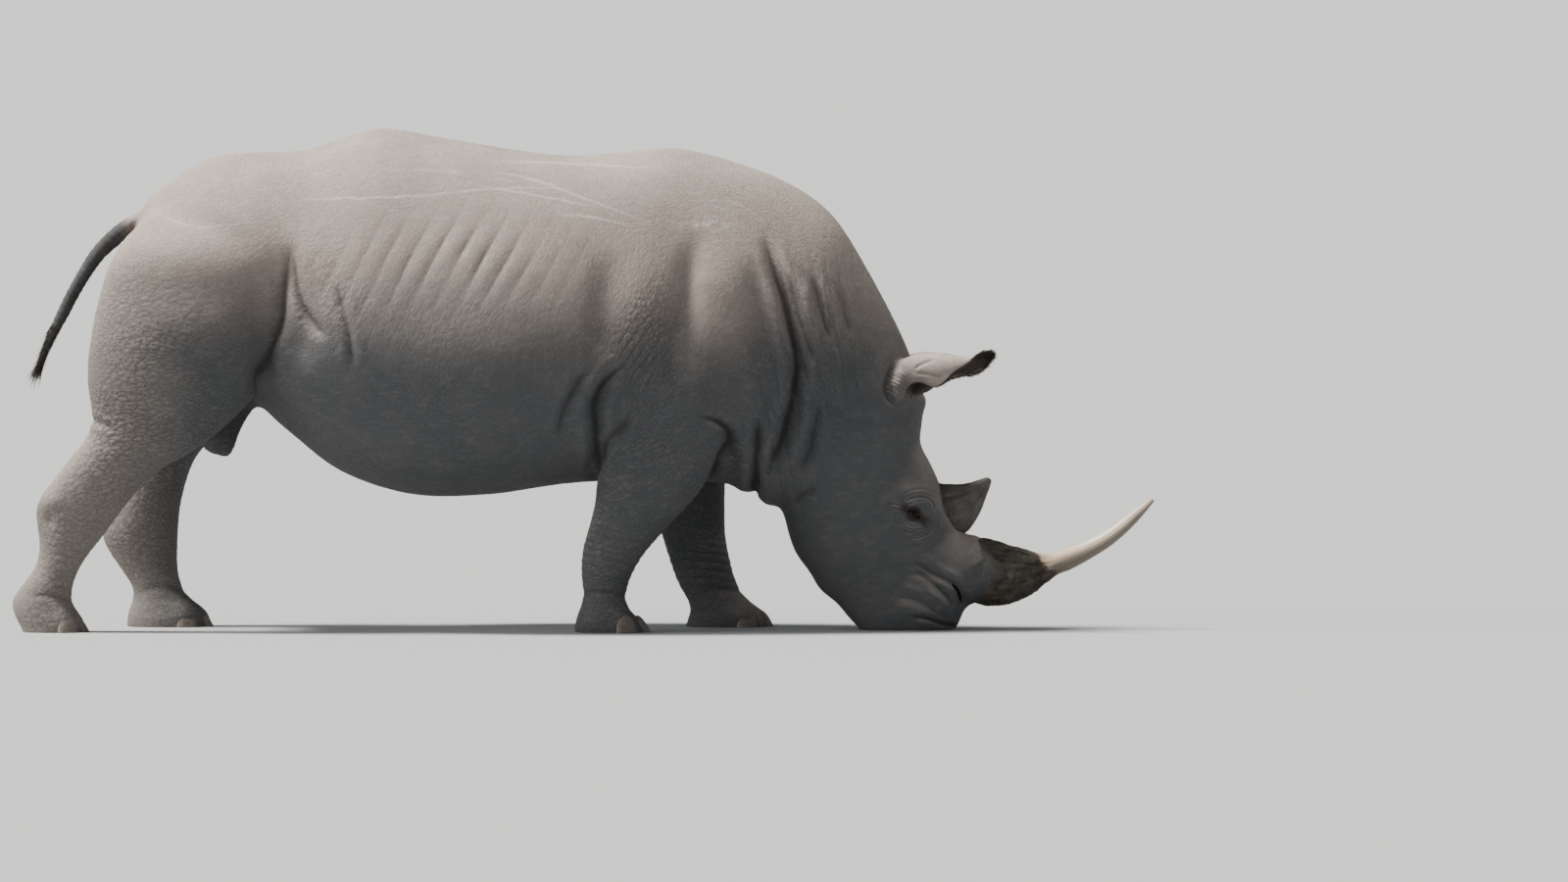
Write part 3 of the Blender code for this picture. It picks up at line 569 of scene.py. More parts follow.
# Folds: a path in the XZ plane, its width and depth, the height of the rolls beside it, and its sides.
FOLDS = [
    # between shoulder and neck, down to the brisket
    ([(0.655, 1.500), (0.704, 1.328), (0.769, 1.148), (0.794, 0.994), (0.785, 0.880), (0.765, 0.781),
      (0.740, 0.700), (0.700, 0.620), (0.650, 0.520)], 0.020, 0.040, 0.014, BOTH),
    # across the neck, in front of it
    ([(0.740, 1.340), (0.790, 1.190), (0.835, 1.050), (0.850, 0.960)], 0.014, 0.012, 0.005, BOTH),
    ([(0.835, 1.320), (0.880, 1.180), (0.915, 1.060)], 0.014, 0.010, 0.005, BOTH),
    ([(0.930, 1.290), (0.965, 1.180), (0.990, 1.080)], 0.014, 0.007, 0.004, BOTH),
    ([(0.870, 0.860), (0.862, 0.760), (0.835, 0.660), (0.800, 0.580)], 0.016, 0.012, 0.006, BOTH),
    # the lobes of the brisket
    ([(0.648, 0.800), (0.650, 0.700), (0.639, 0.637), (0.630, 0.575), (0.622, 0.470)],
     0.016, 0.022, 0.006, BOTH),
    # behind each elbow
    ([(0.190, 0.995), (0.130, 0.960), (0.085, 0.910), (0.052, 0.850), (0.057, 0.738), (0.045, 0.612),
      (0.043, 0.530)], 0.020, 0.032, 0.010, RIGHT),
    ([(0.270, 0.930), (0.215, 0.860), (0.190, 0.780), (0.185, 0.690), (0.190, 0.560)],
     0.020, 0.030, 0.008, LEFT),
    ([(0.020, 0.990), (-0.030, 0.900), (-0.065, 0.810), (-0.092, 0.713)], 0.016, 0.010, 0.006, BOTH),
    ([(0.193, 0.824), (0.146, 0.752), (0.092, 0.698), (0.070, 0.600)], 0.014, 0.010, 0.005, RIGHT),
    # where the upper arm meets the chest
    ([(0.400, 0.795), (0.450, 0.788), (0.505, 0.768), (0.538, 0.735), (0.542, 0.700), (0.518, 0.650),
      (0.490, 0.590), (0.460, 0.540)], 0.014, 0.022, 0.003, RIGHT),
    ([(0.420, 0.800), (0.500, 0.790), (0.555, 0.770), (0.580, 0.710), (0.565, 0.620), (0.545, 0.540)],
     0.014, 0.022, 0.004, LEFT),
    # flank, in front of each thigh
    ([(-1.060, 1.450), (-1.076, 1.380), (-1.088, 1.300), (-1.094, 1.219), (-1.112, 1.135), (-1.144, 1.039),
      (-1.180, 0.931), (-1.205, 0.850)], 0.026, 0.034, 0.001, BOTH),
    ([(-1.060, 1.430), (-1.054, 1.360), (-1.046, 1.290), (-1.022, 1.210), (-0.980, 1.130), (-0.930, 1.060)],
     0.018, 0.014, 0.004, BOTH),
    ([(-0.905, 1.292), (-0.880, 1.200), (-0.850, 1.100), (-0.832, 0.968)], 0.014, 0.008, 0.003, BOTH),
    # under each buttock, and above the hock
    ([(-1.900, 0.812), (-1.820, 0.788), (-1.755, 0.766), (-1.715, 0.748)], 0.010, 0.007, 0.002, RIGHT),
    ([(-1.780, 0.760), (-1.700, 0.735), (-1.640, 0.710), (-1.610, 0.670)], 0.010, 0.006, 0.002, LEFT),
    # above the toes of each foot
    ([(-0.030, 0.125), (0.060, 0.150), (0.130, 0.140), (0.200, 0.105)], 0.012, 0.004, 0.001, RIGHT),
    ([(0.390, 0.110), (0.480, 0.140), (0.580, 0.130), (0.640, 0.100)], 0.012, 0.004, 0.001, LEFT),
    ([(-2.060, 0.150), (-1.980, 0.138), (-1.910, 0.128), (-1.860, 0.100)], 0.012, 0.004, 0.001, RIGHT),
    ([(-1.660, 0.120), (-1.560, 0.140), (-1.470, 0.130), (-1.400, 0.095)], 0.012, 0.004, 0.001, LEFT),
    # from the nose down to the lip
    ([(1.190, 0.252), (1.238, 0.238), (1.294, 0.200), (1.341, 0.178), (1.366, 0.162), (1.384, 0.125),
      (1.395, 0.080)], 0.012, 0.012, 0.006, BOTH),
    # in the side of the lips
    ([(1.190, 0.218), (1.244, 0.202), (1.301, 0.158), (1.337, 0.126), (1.366, 0.079)],
     0.010, 0.010, 0.004, BOTH),
    ([(1.150, 0.130), (1.220, 0.115), (1.285, 0.080), (1.310, 0.045)], 0.014, 0.005, 0.004, BOTH),
    # the mouth
    ([(1.200, 0.060), (1.270, 0.045), (1.330, 0.022), (1.400, 0.012)], 0.007, 0.012, 0.004, BOTH),
    # round the root of the ear, and behind the jaw
    ([(1.205, 0.962), (1.232, 0.950), (1.262, 0.950), (1.305, 0.941), (1.330, 0.943)],
     0.005, 0.005, 0.001, BOTH),
    ([(1.212, 0.955), (1.233, 0.977), (1.264, 0.992), (1.295, 1.000)], 0.004, 0.005, 0.001, BOTH),
    ([(1.150, 1.000), (1.125, 0.940), (1.112, 0.890), (1.122, 0.850), (1.160, 0.826)],
     0.006, 0.007, 0.001, BOTH),
    ([(0.760, 0.460), (0.800, 0.500), (0.860, 0.520)], 0.016, 0.008, 0.004, BOTH),
    # between the brow and the rear horn
    ([(1.300, 0.560), (1.322, 0.523), (1.330, 0.473), (1.347, 0.416), (1.372, 0.375), (1.412, 0.350)],
     0.008, 0.010, 0.003, BOTH),
]

# Wide soft valleys: a path in the XZ plane, width and depth, on both sides.
VALLEYS = [
    ([(0.440, 1.520), (0.405, 1.375), (0.378, 1.231), (0.362, 1.069), (0.372, 0.960)], 0.045, 0.022),
    ([(0.110, 1.420), (0.085, 1.250), (0.075, 1.080), (0.090, 0.980)], 0.055, 0.014),
    ([(-1.030, 1.430), (-1.015, 1.300), (-1.030, 1.120), (-1.100, 0.930)], 0.070, 0.030),
    ([(-1.105, 1.470), (-1.130, 1.310), (-1.145, 1.150), (-1.180, 1.000)], 0.060, 0.026),
    ([(0.660, 1.450), (0.640, 1.250), (0.660, 1.050), (0.680, 0.900)], 0.050, 0.010),
    ([(-1.660, 0.860), (-1.560, 0.770), (-1.450, 0.720)], 0.050, 0.010),
]

# Swellings and hollows: centre on the right side, radii, height. Each is mirrored.
SWELLINGS = [
    ((-1.860, -0.280, 0.920), (0.090, 0.24, 0.260), 0.016),  # buttock
    ((1.215, -0.200, 0.428), (0.085, 0.12, 0.075), 0.007),  # round the eye
    ((1.235, -0.185, 0.510), (0.060, 0.10, 0.028), 0.009),  # brow
    ((1.238, -0.190, 0.466), (0.045, 0.10, 0.018), 0.007),  # upper lid
    ((1.205, -0.190, 0.380), (0.045, 0.10, 0.016), 0.006),  # bag below the eye
    ((1.120, -0.200, 0.560), (0.060, 0.10, 0.080), -0.010),  # temple
    ((1.120, -0.200, 0.330), (0.090, 0.10, 0.050), 0.006),  # cheekbone
    ((0.950, -0.205, 0.430), (0.140, 0.12, 0.170), 0.014),  # jaw muscle
    ((1.310, -0.150, 0.330), (0.050, 0.10, 0.045), -0.008),  # between the horns
    ((1.265, -0.150, 0.120), (0.095, 0.10, 0.070), 0.014),  # lip
    ((1.375, -0.110, 0.190), (0.055, 0.08, 0.050), 0.008),  # nostril
    ((0.230, -0.400, 1.180), (0.110, 0.20, 0.250), 0.026),  # shoulder blade
    ((0.530, -0.380, 1.230), (0.110, 0.20, 0.220), 0.022),  # front of the shoulder
    ((0.300, -0.400, 0.880), (0.160, 0.20, 0.080), 0.014),  # upper arm
    ((0.545, -0.300, 0.650), (0.032, 0.20, 0.070), -0.022),  # hollow between arm and brisket
    ((0.590, 0.000, 0.530), (0.032, 0.22, 0.050), 0.012),  # lobes of the brisket
    ((0.688, 0.000, 0.500), (0.040, 0.22, 0.060), 0.020),
    ((0.634, 0.000, 0.505), (0.012, 0.25, 0.040), -0.014),
    ((1.237, -0.240, 0.905), (0.030, 0.06, 0.024), -0.008),  # hollow of the ear's root
    ((0.795, 0.000, 0.275), (0.060, 0.14, 0.080), 0.012),  # keel of the jaw
    ((0.880, 0.000, 0.155), (0.060, 0.14, 0.070), 0.014),
    ((1.262, 0.000, 0.840), (0.050, 0.16, 0.042), 0.026),  # poll
    ((1.262, 0.000, 0.690), (0.050, 0.22, 0.062), -0.020),  # dished forehead
    ((-1.956, -0.340, 0.412), (0.022, 0.10, 0.026), -0.008),  # pit of the hock
    ((-1.950, -0.340, 0.480), (0.040, 0.10, 0.035), 0.010),  # point of the hock
    ((-1.300, -0.330, 1.520), (0.200, 0.20, 0.130), 0.018),  # hip bone
    ((-1.420, -0.400, 1.080), (0.230, 0.20, 0.230), 0.016),  # thigh
    ((-0.980, -0.450, 1.350), (0.060, 0.20, 0.130), 0.012),  # in front of the flank fold
]


TOE_ANGLES = (-62, 0, 62)  # inner, middle and outer toe, in degrees from straight ahead


def toe_places(stations):
    """The place on the sole's edge and the outward direction of each toe of a foot."""
    front_x, _, back_x, _, centre_y, half_width = stations[-2]
    middle = Vector(((front_x + back_x) / 2, centre_y, 0))
    half_length = (front_x - back_x) / 2
    places = []
    for angle in np.radians(TOE_ANGLES):
        edge = Vector((half_length * math.cos(angle), half_width * math.sin(angle), 0))
        outward = math.atan2(math.sin(angle) / half_width, math.cos(angle) / half_length)
        places.append((middle, edge, outward))
    return places


def swell_toes(points):
    """How far the skin stands out over each toe, and sinks between toes."""
    move = np.zeros(len(points))
    for stations in LEGS.values():
        for middle, edge, _ in toe_places(stations):
            centre = middle + 0.92 * edge
            away = (points - (centre.x, centre.y, 0.055)) / (0.050, 0.046, 0.060)
            move = np.maximum(move, np.exp(-(away**2).sum(axis=1)))
    return 0.014 * move


def spine_share(points):
    """1 along the backbone, which stands up a little from the back."""
    middle = np.exp(-((points[:, 1] / 0.06) ** 2))
    return middle * ramp(points[:, 2], 1.45, 1.65) * ramp(points[:, 0], -1.5, -1.2)


FOLD_BLUNTNESS = 0.004  # the radius of a fold's bottom


def press_folds(mesh):
    """Presses the folds into the skin, and returns how deep in a fold each point is."""
    points = points_of(mesh)
    flat = points[:, [0, 2]] + drift(points, 0.16, (3, 5)) * 0.010
    move = np.zeros(len(points))
    depth_of = np.zeros(len(points))
    for path, width, depth, lip, sides in FOLDS:
        path = curve_through(path)
        near = near_path(flat, path, 6 * width)
        signed, share = path_distance(flat[near], path)
        away = np.abs(signed)
        fade = ramp(share, 0, 0.30) * ramp(1 - share, 0, 0.20)
        fade *= np.max([ramp(side * points[near, 1], 0.02, 0.09) for side in sides], axis=0)
        blunt = np.hypot(away, FOLD_BLUNTNESS) - FOLD_BLUNTNESS
        cut = np.exp(-blunt / width) * np.exp(-((away / (3 * width)) ** 2))
        roll = np.exp(-(((away - 2.4 * width) / (1.3 * width)) ** 2))
        move[near] += (lip * roll - depth * cut) * fade
        depth_of[near] = np.maximum(depth_of[near], cut**2 * fade * min(depth / 0.02, 1))
    push_out(mesh, move)
    return depth_of


def raise_swellings(mesh):
    """Muscle, bone and fat under the skin, and the wide valleys between them."""
    points = points_of(mesh)
    move = 0.012 * spine_share(points) + swell_toes(points)
    for centre, radii, height in SWELLINGS:
        move += height * blob(points, centre, radii)
    for path, width, depth in VALLEYS:
        signed, share = path_distance(points[:, [0, 2]], curve_through(path))
        fade = ramp(share, 0, 0.4) * ramp(1 - share, 0, 0.3) * ramp(np.abs(points[:, 1]), 0.05, 0.15)
        move -= depth * np.exp(-((signed / width) ** 2)) * fade
    # lumps and hollows of muscle and fat all over the trunk
    move += 0.006 * noise(points, 0.35, 11, 2)
    push_out(mesh, move)


def ahead_of(points, start, end):
    """How far ahead of a line each point is, as seen from the side."""
    line = unit(np.subtract(end, start))
    return (points[:, 0] - start[0]) * -line[1] + (points[:, 2] - start[1]) * line[0]


def head_share(points):
    """1 on the head, 0 behind the line from the nape to the throat."""
    return ramp(ahead_of(points, (1.276, 1.329), (0.667, 0.366)), -0.06, 0.10)


def neck_share(points):
    """1 on the neck and the head, 0 on the trunk."""
    return ramp(ahead_of(points, (0.770, 1.800), (0.595, 0.400)), -0.10, 0.06)


def leg_share(points):
    """1 on the legs below the belly and the chest, 0 on the trunk."""
    fore = ramp(-np.abs(points[:, 0] - 0.33), -0.46, -0.36) * ramp(-points[:, 2], -0.78, -0.60)
    hind = ramp(-points[:, 0], 1.10, 1.25) * ramp(-points[:, 2], -0.95, -0.70)
    return np.maximum(fore, hind) * (1 - neck_share(points))


def ribs_share(points):
    """1 on the ribs and behind the shoulder, where the cells of the skin lie slanted."""
    ribs = blob(points, (-0.25, -0.5, 1.25), (0.65, 0.6, 0.30))
    ribs += blob(points, (0.20, -0.4, 1.05), (0.22, 0.5, 0.25))
    return np.clip(1.6 * ribs, 0, 1)


def lie_of_cells(points):
    """The direction that the cells of the skin are longest in, for each point."""
    slanted = unit((0.48, 0, 0.88))
    level = unit((1, 0, -0.10))
    upright = unit((0.25, 0, -1))
    ribs = ribs_share(points)[:, None]
    neck = (neck_share(points) * (1 - head_share(points)))[:, None] * 0.8
    along = level * (1 - ribs) + slanted * ribs
    along = along * (1 - neck) + upright * neck
    return units(along + 0.5 * drift(points, 0.30, (21, 22, 23)))


CELL_SPACING = 0.020  # of the larger cells of the skin, which are relief

# Where the legs are ringed: centre, radii and how strongly.
JOINTS = [
    ((0.10, -0.26, 0.26), (0.20, 0.3, 0.10), 1.0),  # wrists
    ((0.44, 0.26, 0.22), (0.20, 0.3, 0.10), 1.0),
    ((-1.93, -0.26, 0.28), (0.16, 0.3, 0.14), 0.5),  # below the hocks
    ((-1.60, 0.26, 0.28), (0.16, 0.3, 0.14), 0.5),
    ((-1.62, -0.3, 0.80), (0.16, 0.5, 0.16), 0.4),  # stifle
]


def below_forehead(points):
    """1 on the muzzle, 0 from the forehead up."""
    return ramp(-points[:, 2], -0.45, -0.40)


def rolls_of(points, across, spacing, wobble, seed):
    """Ridges as a height, a little above the skin on a roll and well below it in a crease."""
    return ridges(points, across, spacing, wobble, seed) ** 0.6 - 0.7


def wrinkle(mesh, calm):
    """Ribs, rings and the cells of the skin, as real relief. Returns the cells' relief and random tone."""
    points = points_of(mesh)
    head, legs = head_share(points), leg_share(points)
    neck = neck_share(points) * (1 - head) * ramp(np.abs(points[:, 1]), 0.10, 0.26)
    rump = blob(points, (-1.66, -0.3, 0.98), (0.26, 0.5, 0.30))
    shoulder = blob(points, (0.21, -0.4, 1.06), (0.13, 0.5, 0.20))
    flank = blob(points, (-0.93, -0.45, 1.20), (0.14, 0.5, 0.18))
    wavy = points + 0.010 * drift(points, 0.09, (31, 32, 33))
    cells, tone = mosaic(wavy, CELL_SPACING, lie_of_cells(points), 2.9 - 0.5 * legs, 51)
    strength = 0.38 + 0.95 * rump + 0.75 * shoulder + 0.35 * flank + 0.45 * legs - 0.28 * head
    strength *= 0.75 + 0.45 * noise(points, 0.25, 61, 2)
    strength *= calm
    relief = -0.0036 * np.exp(-cells / 0.28) * strength

    # ribs under the skin, slanting forward and up
    phase = points @ unit((0.88, 0, -0.48)) / 0.078 + 0.16 * noise(points, 0.30, 71, 2)
    ribs = blob(points, (-0.43, -0.5, 1.38), (0.32, 0.5, 0.12))
    ribs += 0.45 * blob(points, (-0.78, -0.5, 1.32), (0.24, 0.5, 0.14))
    uneven = 0.65 + 0.6 * noise(points, 0.12, 75, 1)
    relief += 0.0085 * (np.abs(np.cos(np.pi * phase)) ** 0.8 - 0.6) * np.clip(ribs, 0, 1) * uneven

    # small folds that hang over one another behind the shoulder
    hanging = rolls_of(points, (0.80, 0, -0.60), 0.028, 0.40, 72)
    relief += 0.0040 * hanging * blob(points, (0.21, -0.4, 1.03), (0.075, 0.5, 0.11))

    # rings round the legs and wrinkles over the joints
    rings = rolls_of(points, (0.15, 0, 1), 0.030, 0.60, 73)
    joints = sum(share * blob(points, centre, radii) for centre, radii, share in JOINTS)
    relief += 0.0034 * rings * np.clip(joints, 0, 1)

    # upright wrinkles on the neck, which curl in front of the shoulder
    upright = rolls_of(points, (1, 0, 0.22), 0.052, 0.70, 74)
    relief += 0.0032 * upright * neck * ramp(-points[:, 2], -1.45, -1.25)
    curls = rolls_of(points, (1, 0, 0.22), 0.028, 1.30, 76)
    relief += 0.0036 * curls * blob(points, (0.885, -0.3, 1.15), (0.075, 0.5, 0.12))

    # the nose turns rough where it meets the front horn
    rough = ramp(points[:, 0], 1.40, 1.45) * below_forehead(points)
    relief += (0.0045 * noise(points, 0.020, 77, 3) + 0.0060 * noise(points, 0.050, 78, 2)) * rough

    # rings round the tail
    creases = rolls_of(points, (0.45, 0, 0.89), 0.026, 0.80, 79)
    push_out(mesh, relief * calm + 0.0024 * creases * tail_share(points))
    plain = np.clip(1 - strength, 0, 1)
    return np.minimum(cells / 0.5, 1) * (1 - plain) + 0.8 * plain, tone


# ---------------------------------------------------------------- eyes, nostrils and mouth in the skin

EYE_RADIUS = 0.019
EYE_SLIT = unit((0.87, 0, -0.50))  # the long way of the opening, down to the front
EYE_LENGTH = 0.028  # from the middle of the opening to a corner
UPPER_LID, LOWER_LID = 0.0140, 0.0120  # the middle of the opening to each lid
LID_THICKNESS = 0.003
EYE_REGION = 0.125  # how far from an eye its creases reach


def eye_frame(points, normals, centre):
    """Axes of one eye: along the slit, up across it, and outward."""
    near = np.linalg.norm(points - centre, axis=1) < 0.06
    outward = unit(normals[near].mean(axis=0))
    along = unit(EYE_SLIT - outward * (EYE_SLIT @ outward))
    up = np.cross(outward, along)
    if up[2] < 0:
        up = -up
    return np.stack([along, up, outward])


def lid_line(along):
    """How far the upper and the lower lid stand from the slit's middle line, at places along it."""
    share = np.clip(np.abs(along) / EYE_LENGTH, 0, 1)
    shape = 1 - share**2.2
    return UPPER_LID * shape, LOWER_LID * shape


# Creases round an eye: a path in the XZ plane, width and depth.
EYE_CREASES = [
    ([(1.190, 0.478), (1.204, 0.484), (1.240, 0.491), (1.269, 0.483), (1.287, 0.464), (1.294, 0.439)],
     0.0030, 0.0050),
    ([(1.175, 0.457), (1.204, 0.466), (1.233, 0.461), (1.256, 0.443), (1.265, 0.418)], 0.0022, 0.0034),
    ([(1.143, 0.430), (1.147, 0.414), (1.168, 0.378), (1.201, 0.360), (1.237, 0.373), (1.273, 0.378)],
     0.0028, 0.0046),
    ([(1.183, 0.349), (1.219, 0.337), (1.269, 0.356), (1.301, 0.382)], 0.0028, 0.0028),
    ([(1.172, 0.421), (1.190, 0.394), (1.219, 0.383), (1.251, 0.389)], 0.0022, 0.0030),
    ([(1.282, 0.432), (1.289, 0.403), (1.276, 0.378)], 0.0022, 0.0020),
    ([(1.300, 0.445), (1.312, 0.410), (1.300, 0.370)], 0.0028, 0.0020),
    ([(1.130, 0.468), (1.150, 0.464), (1.172, 0.456), (1.190, 0.442)], 0.0030, 0.0040),
    ([(1.128, 0.440), (1.150, 0.445), (1.175, 0.444)], 0.0024, 0.0024),
    ([(1.180, 0.505), (1.230, 0.520), (1.280, 0.512), (1.310, 0.490)], 0.0040, 0.0014),
    ([(1.150, 0.330), (1.200, 0.312), (1.260, 0.322)], 0.0040, 0.0018),
]


def open_eye(mesh, centre):
    """Draws the skin over the eyeball as lids, opens it between them, and presses rings round them.

    Returns how dark each point is: the wet, dark skin round the opening, with painted shade of the lids and
    in the creases.
    """
    points = points_of(mesh)
    axes = eye_frame(points, normals_of(mesh), centre)
    near = np.flatnonzero(np.linalg.norm(points - centre, axis=1) < EYE_REGION)
    local = (points[near] - centre) @ axes.T
    outer = local[:, 2] > -0.03  # not the other side of the head
    near, local = near[outer], local[outer]
    along, up, out = local.T
    ball = np.sqrt(np.maximum(EYE_RADIUS**2 - along**2 - up**2, 0))
    ball -= 1.5 * np.maximum(np.hypot(along, up) - EYE_RADIUS, 0)
    upper, lower = lid_line(along)
    gap = np.maximum(up - upper, -up - lower)
    past_corner = np.abs(along) - EYE_LENGTH
    gap = np.where(past_corner > 0, np.maximum(gap, past_corner * 0.5), gap)
    # the lids lie on the ball and swell into the face
    lid = ball + LID_THICKNESS + 0.002 * np.exp(-((gap - 0.004) / 0.003) ** 2)
    around = np.hypot(along / 1.12, up)
    holding = np.exp(-((np.maximum(around - 0.012, 0) / 0.020) ** 2))
    shaped = out * (1 - holding) + np.maximum(lid, out * 0.4) * holding
    flat = points[near][:, [0, 2]] + 0.0020 * drift(points[near], 0.03, (81, 82))
    # the wet, dark skin round the opening and above its rear corner, with painted shade of the lids on it
    eye_dark_and_shade = np.exp(-((np.maximum(gap - 0.006, 0) / 0.012) ** 2))
    corner = np.hypot((flat[:, 0] - 1.191) / 0.014, (flat[:, 1] - 0.441) / 0.010)
    eye_dark_and_shade = np.maximum(eye_dark_and_shade, 0.9 * np.exp(-(corner**2)))
    for path, width, depth in EYE_CREASES:
        signed, share = path_distance(flat, curve_through(path))
        away, fade = np.abs(signed), np.sin(np.pi * share) ** 0.4
        cut = np.exp(-away / width) - 0.40 * np.exp(-(((away - 2.2 * width) / (1.2 * width)) ** 2))
        shaped -= depth * cut * fade
        # the creases round the eye are painted darker, as shade
        eye_dark_and_shade = np.maximum(eye_dark_and_shade, 75 * depth * cut * fade)
    inside = ramp(-gap, 0.0, 0.0016)
    shaped = shaped * (1 - inside) + (ball - 0.006) * inside
    points[near] = centre + np.stack([along, up, shaped], axis=1) @ axes
    set_points(mesh, points)
    dark = np.zeros(len(points))
    dark[near] = eye_dark_and_shade
    return dark


def wrinkle_ear_roots(mesh):
    """Small wrinkles across the thick root of each ear."""
    points = points_of(mesh)
    rolls = ridges(points, (0.50, 0, 0.86), 0.014, 0.50, 79)
    here = blob(points, (1.165, -0.215, 0.895), (0.036, 0.08, 0.040))
    push_out(mesh, 0.0032 * (rolls**0.7 - 0.8) * np.clip(1.5 * here, 0, 1))


NOSTRIL = [(1.360, 0.168), (1.374, 0.150), (1.384, 0.125), (1.391, 0.098)]


def open_nostrils(mesh):
    """A deep slit with a raised rim on each side of the muzzle. Returns how deep in the slit each point is,
    for painted shade.
    """
    points = points_of(mesh)
    signed, share = path_distance(points[:, [0, 2]], curve_through(NOSTRIL))
    outside = ramp(np.abs(points[:, 1]), 0.04, 0.08)
    width = 0.0025 + 0.0030 * np.sin(np.pi * share)
    away = np.abs(signed) / width
    deep = np.exp(-(away**3)) * outside
    rim = np.exp(-(((away - 1.7) / 0.6) ** 2)) * outside * np.sin(np.pi * share)
    push_out(mesh, 0.005 * rim - 0.018 * deep)
    return deep


# ---------------------------------------------------------------- the skin


LEFT_EAR_DROP = 0.022  # how much lower the point of the left ear is held
EAR_WALL = 0.013  # the least thickness, which the remesh keeps
EAR_RINGS = 40  # along an ear
EAR_ARC = 25  # points along the outside of a ring, and as many back along its inside
EARS = (1.38, -0.21, 0.97), (0.17, 0.16, 0.12)  # a centre and radii round the right one


def ear_rings(side):
    """Rings round an ear's wall, nearly closed at its root and open towards its tip."""
    along = EAR_RINGS
    rows = np.array(EAR, float)
    rows[:, 1] *= -side
    if side > 0:
        rows[:, 2] -= LEFT_EAR_DROP * np.linspace(0, 1, len(rows))
    steps = np.linalg.norm(np.diff(rows[:, 0:3], axis=0), axis=1)
    station = np.concatenate([[0], np.cumsum(steps)])
    at = np.linspace(0, station[-1], along)
    rows = np.stack([np.interp(at, station, column) for column in rows.T], axis=1)
    for _ in range(along // 6):
        rows[1:-1] = (rows[:-2] + 2 * rows[1:-1] + rows[2:]) / 4
    rings = []
    for i, row in enumerate(rows):
        before, after = rows[max(i - 1, 0)], rows[min(i + 1, along - 1)]
        rings.append(ear_section(row, Vector(after[0:3] - before[0:3]).normalized(), side))
    return rings


def ear_section(row, tangent, side):
    """The ring of one ear section: the outside of the cup one way round, then its inside back."""
    x, y, z, across_radius, up_radius, outer, inner, thickness = row
    opening = Vector(EAR_OPENING) * Vector((1, -side, 1))
    opening = (opening - opening.dot(tangent) * tangent).normalized()
    across = tangent.cross(opening)
    thickness = max(thickness, EAR_WALL)
    ring = []
    low, high = (-outer, inner) if side < 0 else (-inner, outer)
    for inset, (first, last) in ((0, (low, high)), (thickness, (high, low))):
        for angle in np.radians(np.linspace(first, last, EAR_ARC)):
            up = (up_radius - inset) * math.cos(angle)
            out = (across_radius - inset) * math.sin(angle)
            ring.append(Vector((x, y, z)) - opening * up + across * out)
    return ring


def thin_share(points):
    """1 on the ears and the tail, which keep sharper edges than the rest."""
    return np.maximum(blob(points, *EARS), tail_share(points))


def tail_share(points):
    """1 on the tail where it hangs free, 0 elsewhere."""
    value = np.zeros(len(points))
    behind = np.flatnonzero((points[:, 0] < -1.64) & (np.abs(points[:, 1]) < 0.055))
    signed, _ = path_distance(points[behind][:, [0, 2]], middles(np.array(TAIL)))
    value[behind] = ramp(-points[behind, 0], 1.64, 1.71) * (np.abs(signed) < 0.06)
    return value


def ear_hair_and_shade(points):
    """1 where an ear is dark: inside its cup, with dark hair and painted shade; on its tip, with dark hair;
    and in the hollow of its root, as painted shade.
    """
    rows = np.array(EAR)
    y, z, across, up = (np.interp(points[:, 0], rows[:, 0], rows[:, i]) for i in (1, 2, 3, 4))
    from_axis = np.hypot((np.abs(points[:, 1]) + y) / across, (points[:, 2] - z) / up)
    inside = ramp(-from_axis, -0.93, -0.83) * ramp(points[:, 0], 1.310, 1.345)
    tip = ramp(points[:, 0], 1.465, 1.495)
    on_ear = (from_axis < 2) & (np.abs(points[:, 1]) > 0.12)
    hollow = np.clip(1.6 * blob(points, (1.243, -0.150, 0.890), (0.052, 0.080, 0.036)), 0, 1)
    return np.maximum(np.maximum(inside, tip) * on_ear, 0.9 * hollow)


def make_bulk():
    """The trunk, legs and head as one rough skin."""
    bm = bmesh.new()
    add_tube(bm, barrel_rings(BARREL, around=56, along=110))
    for stations in (FORELEG_RIGHT, FORELEG_LEFT):
        add_tube(bm, limb_rings(stations, around=24, along=48))
    for side, (hip, *below) in ((-1, HINDLEG_RIGHT), (1, HINDLEG_LEFT)):
        stations = [(*hip[:4], side * HIP_DEPTH, HIP_HALF_WIDTH), *below]
        add_tube(bm, limb_rings(stations, around=24, along=48))
    add_tube(bm, limb_rings(SHEATH, around=16, along=12))
    add_tube(bm, limb_rings(NOSE, around=32, along=14))
    bulk = new_object("skin", bm)
    remesh(bulk, BASE_VOXEL)
    smooth(bulk.data, rounds=4)
    bulk.modifiers.new("Subdivision", "SUBSURF").levels = 1
    apply_modifiers(bulk)
    return bulk


def make_thin_parts():
    """The tail and the ears, which join the skin only once it is fine enough to keep them."""
    bm = bmesh.new()
    add_tube(bm, limb_rings(TAIL, around=24, along=60))
    for side in BOTH:
        add_tube(bm, ear_rings(side))
        for place, radii in EAR_ROOT:
            lump = Matrix.Translation(Vector(place) * Vector((1, -side, 1))) @ Matrix.Diagonal((*radii, 1))
            bmesh.ops.create_uvsphere(bm, u_segments=32, v_segments=24, radius=1, matrix=lump)
    return new_object("thin", bm)


def make_skin():
    skin, thin = make_bulk(), make_thin_parts()
    edit(skin.data, lambda bm: bm.from_mesh(thin.data))
    bpy.data.objects.remove(thin)
    remesh(skin, SKIN_VOXEL)
    smooth(skin.data, rounds=10, strength=0.5 - 0.25 * thin_share(points_of(skin.data)))
    return skin


SCRATCH_WIDTH = 0.0035
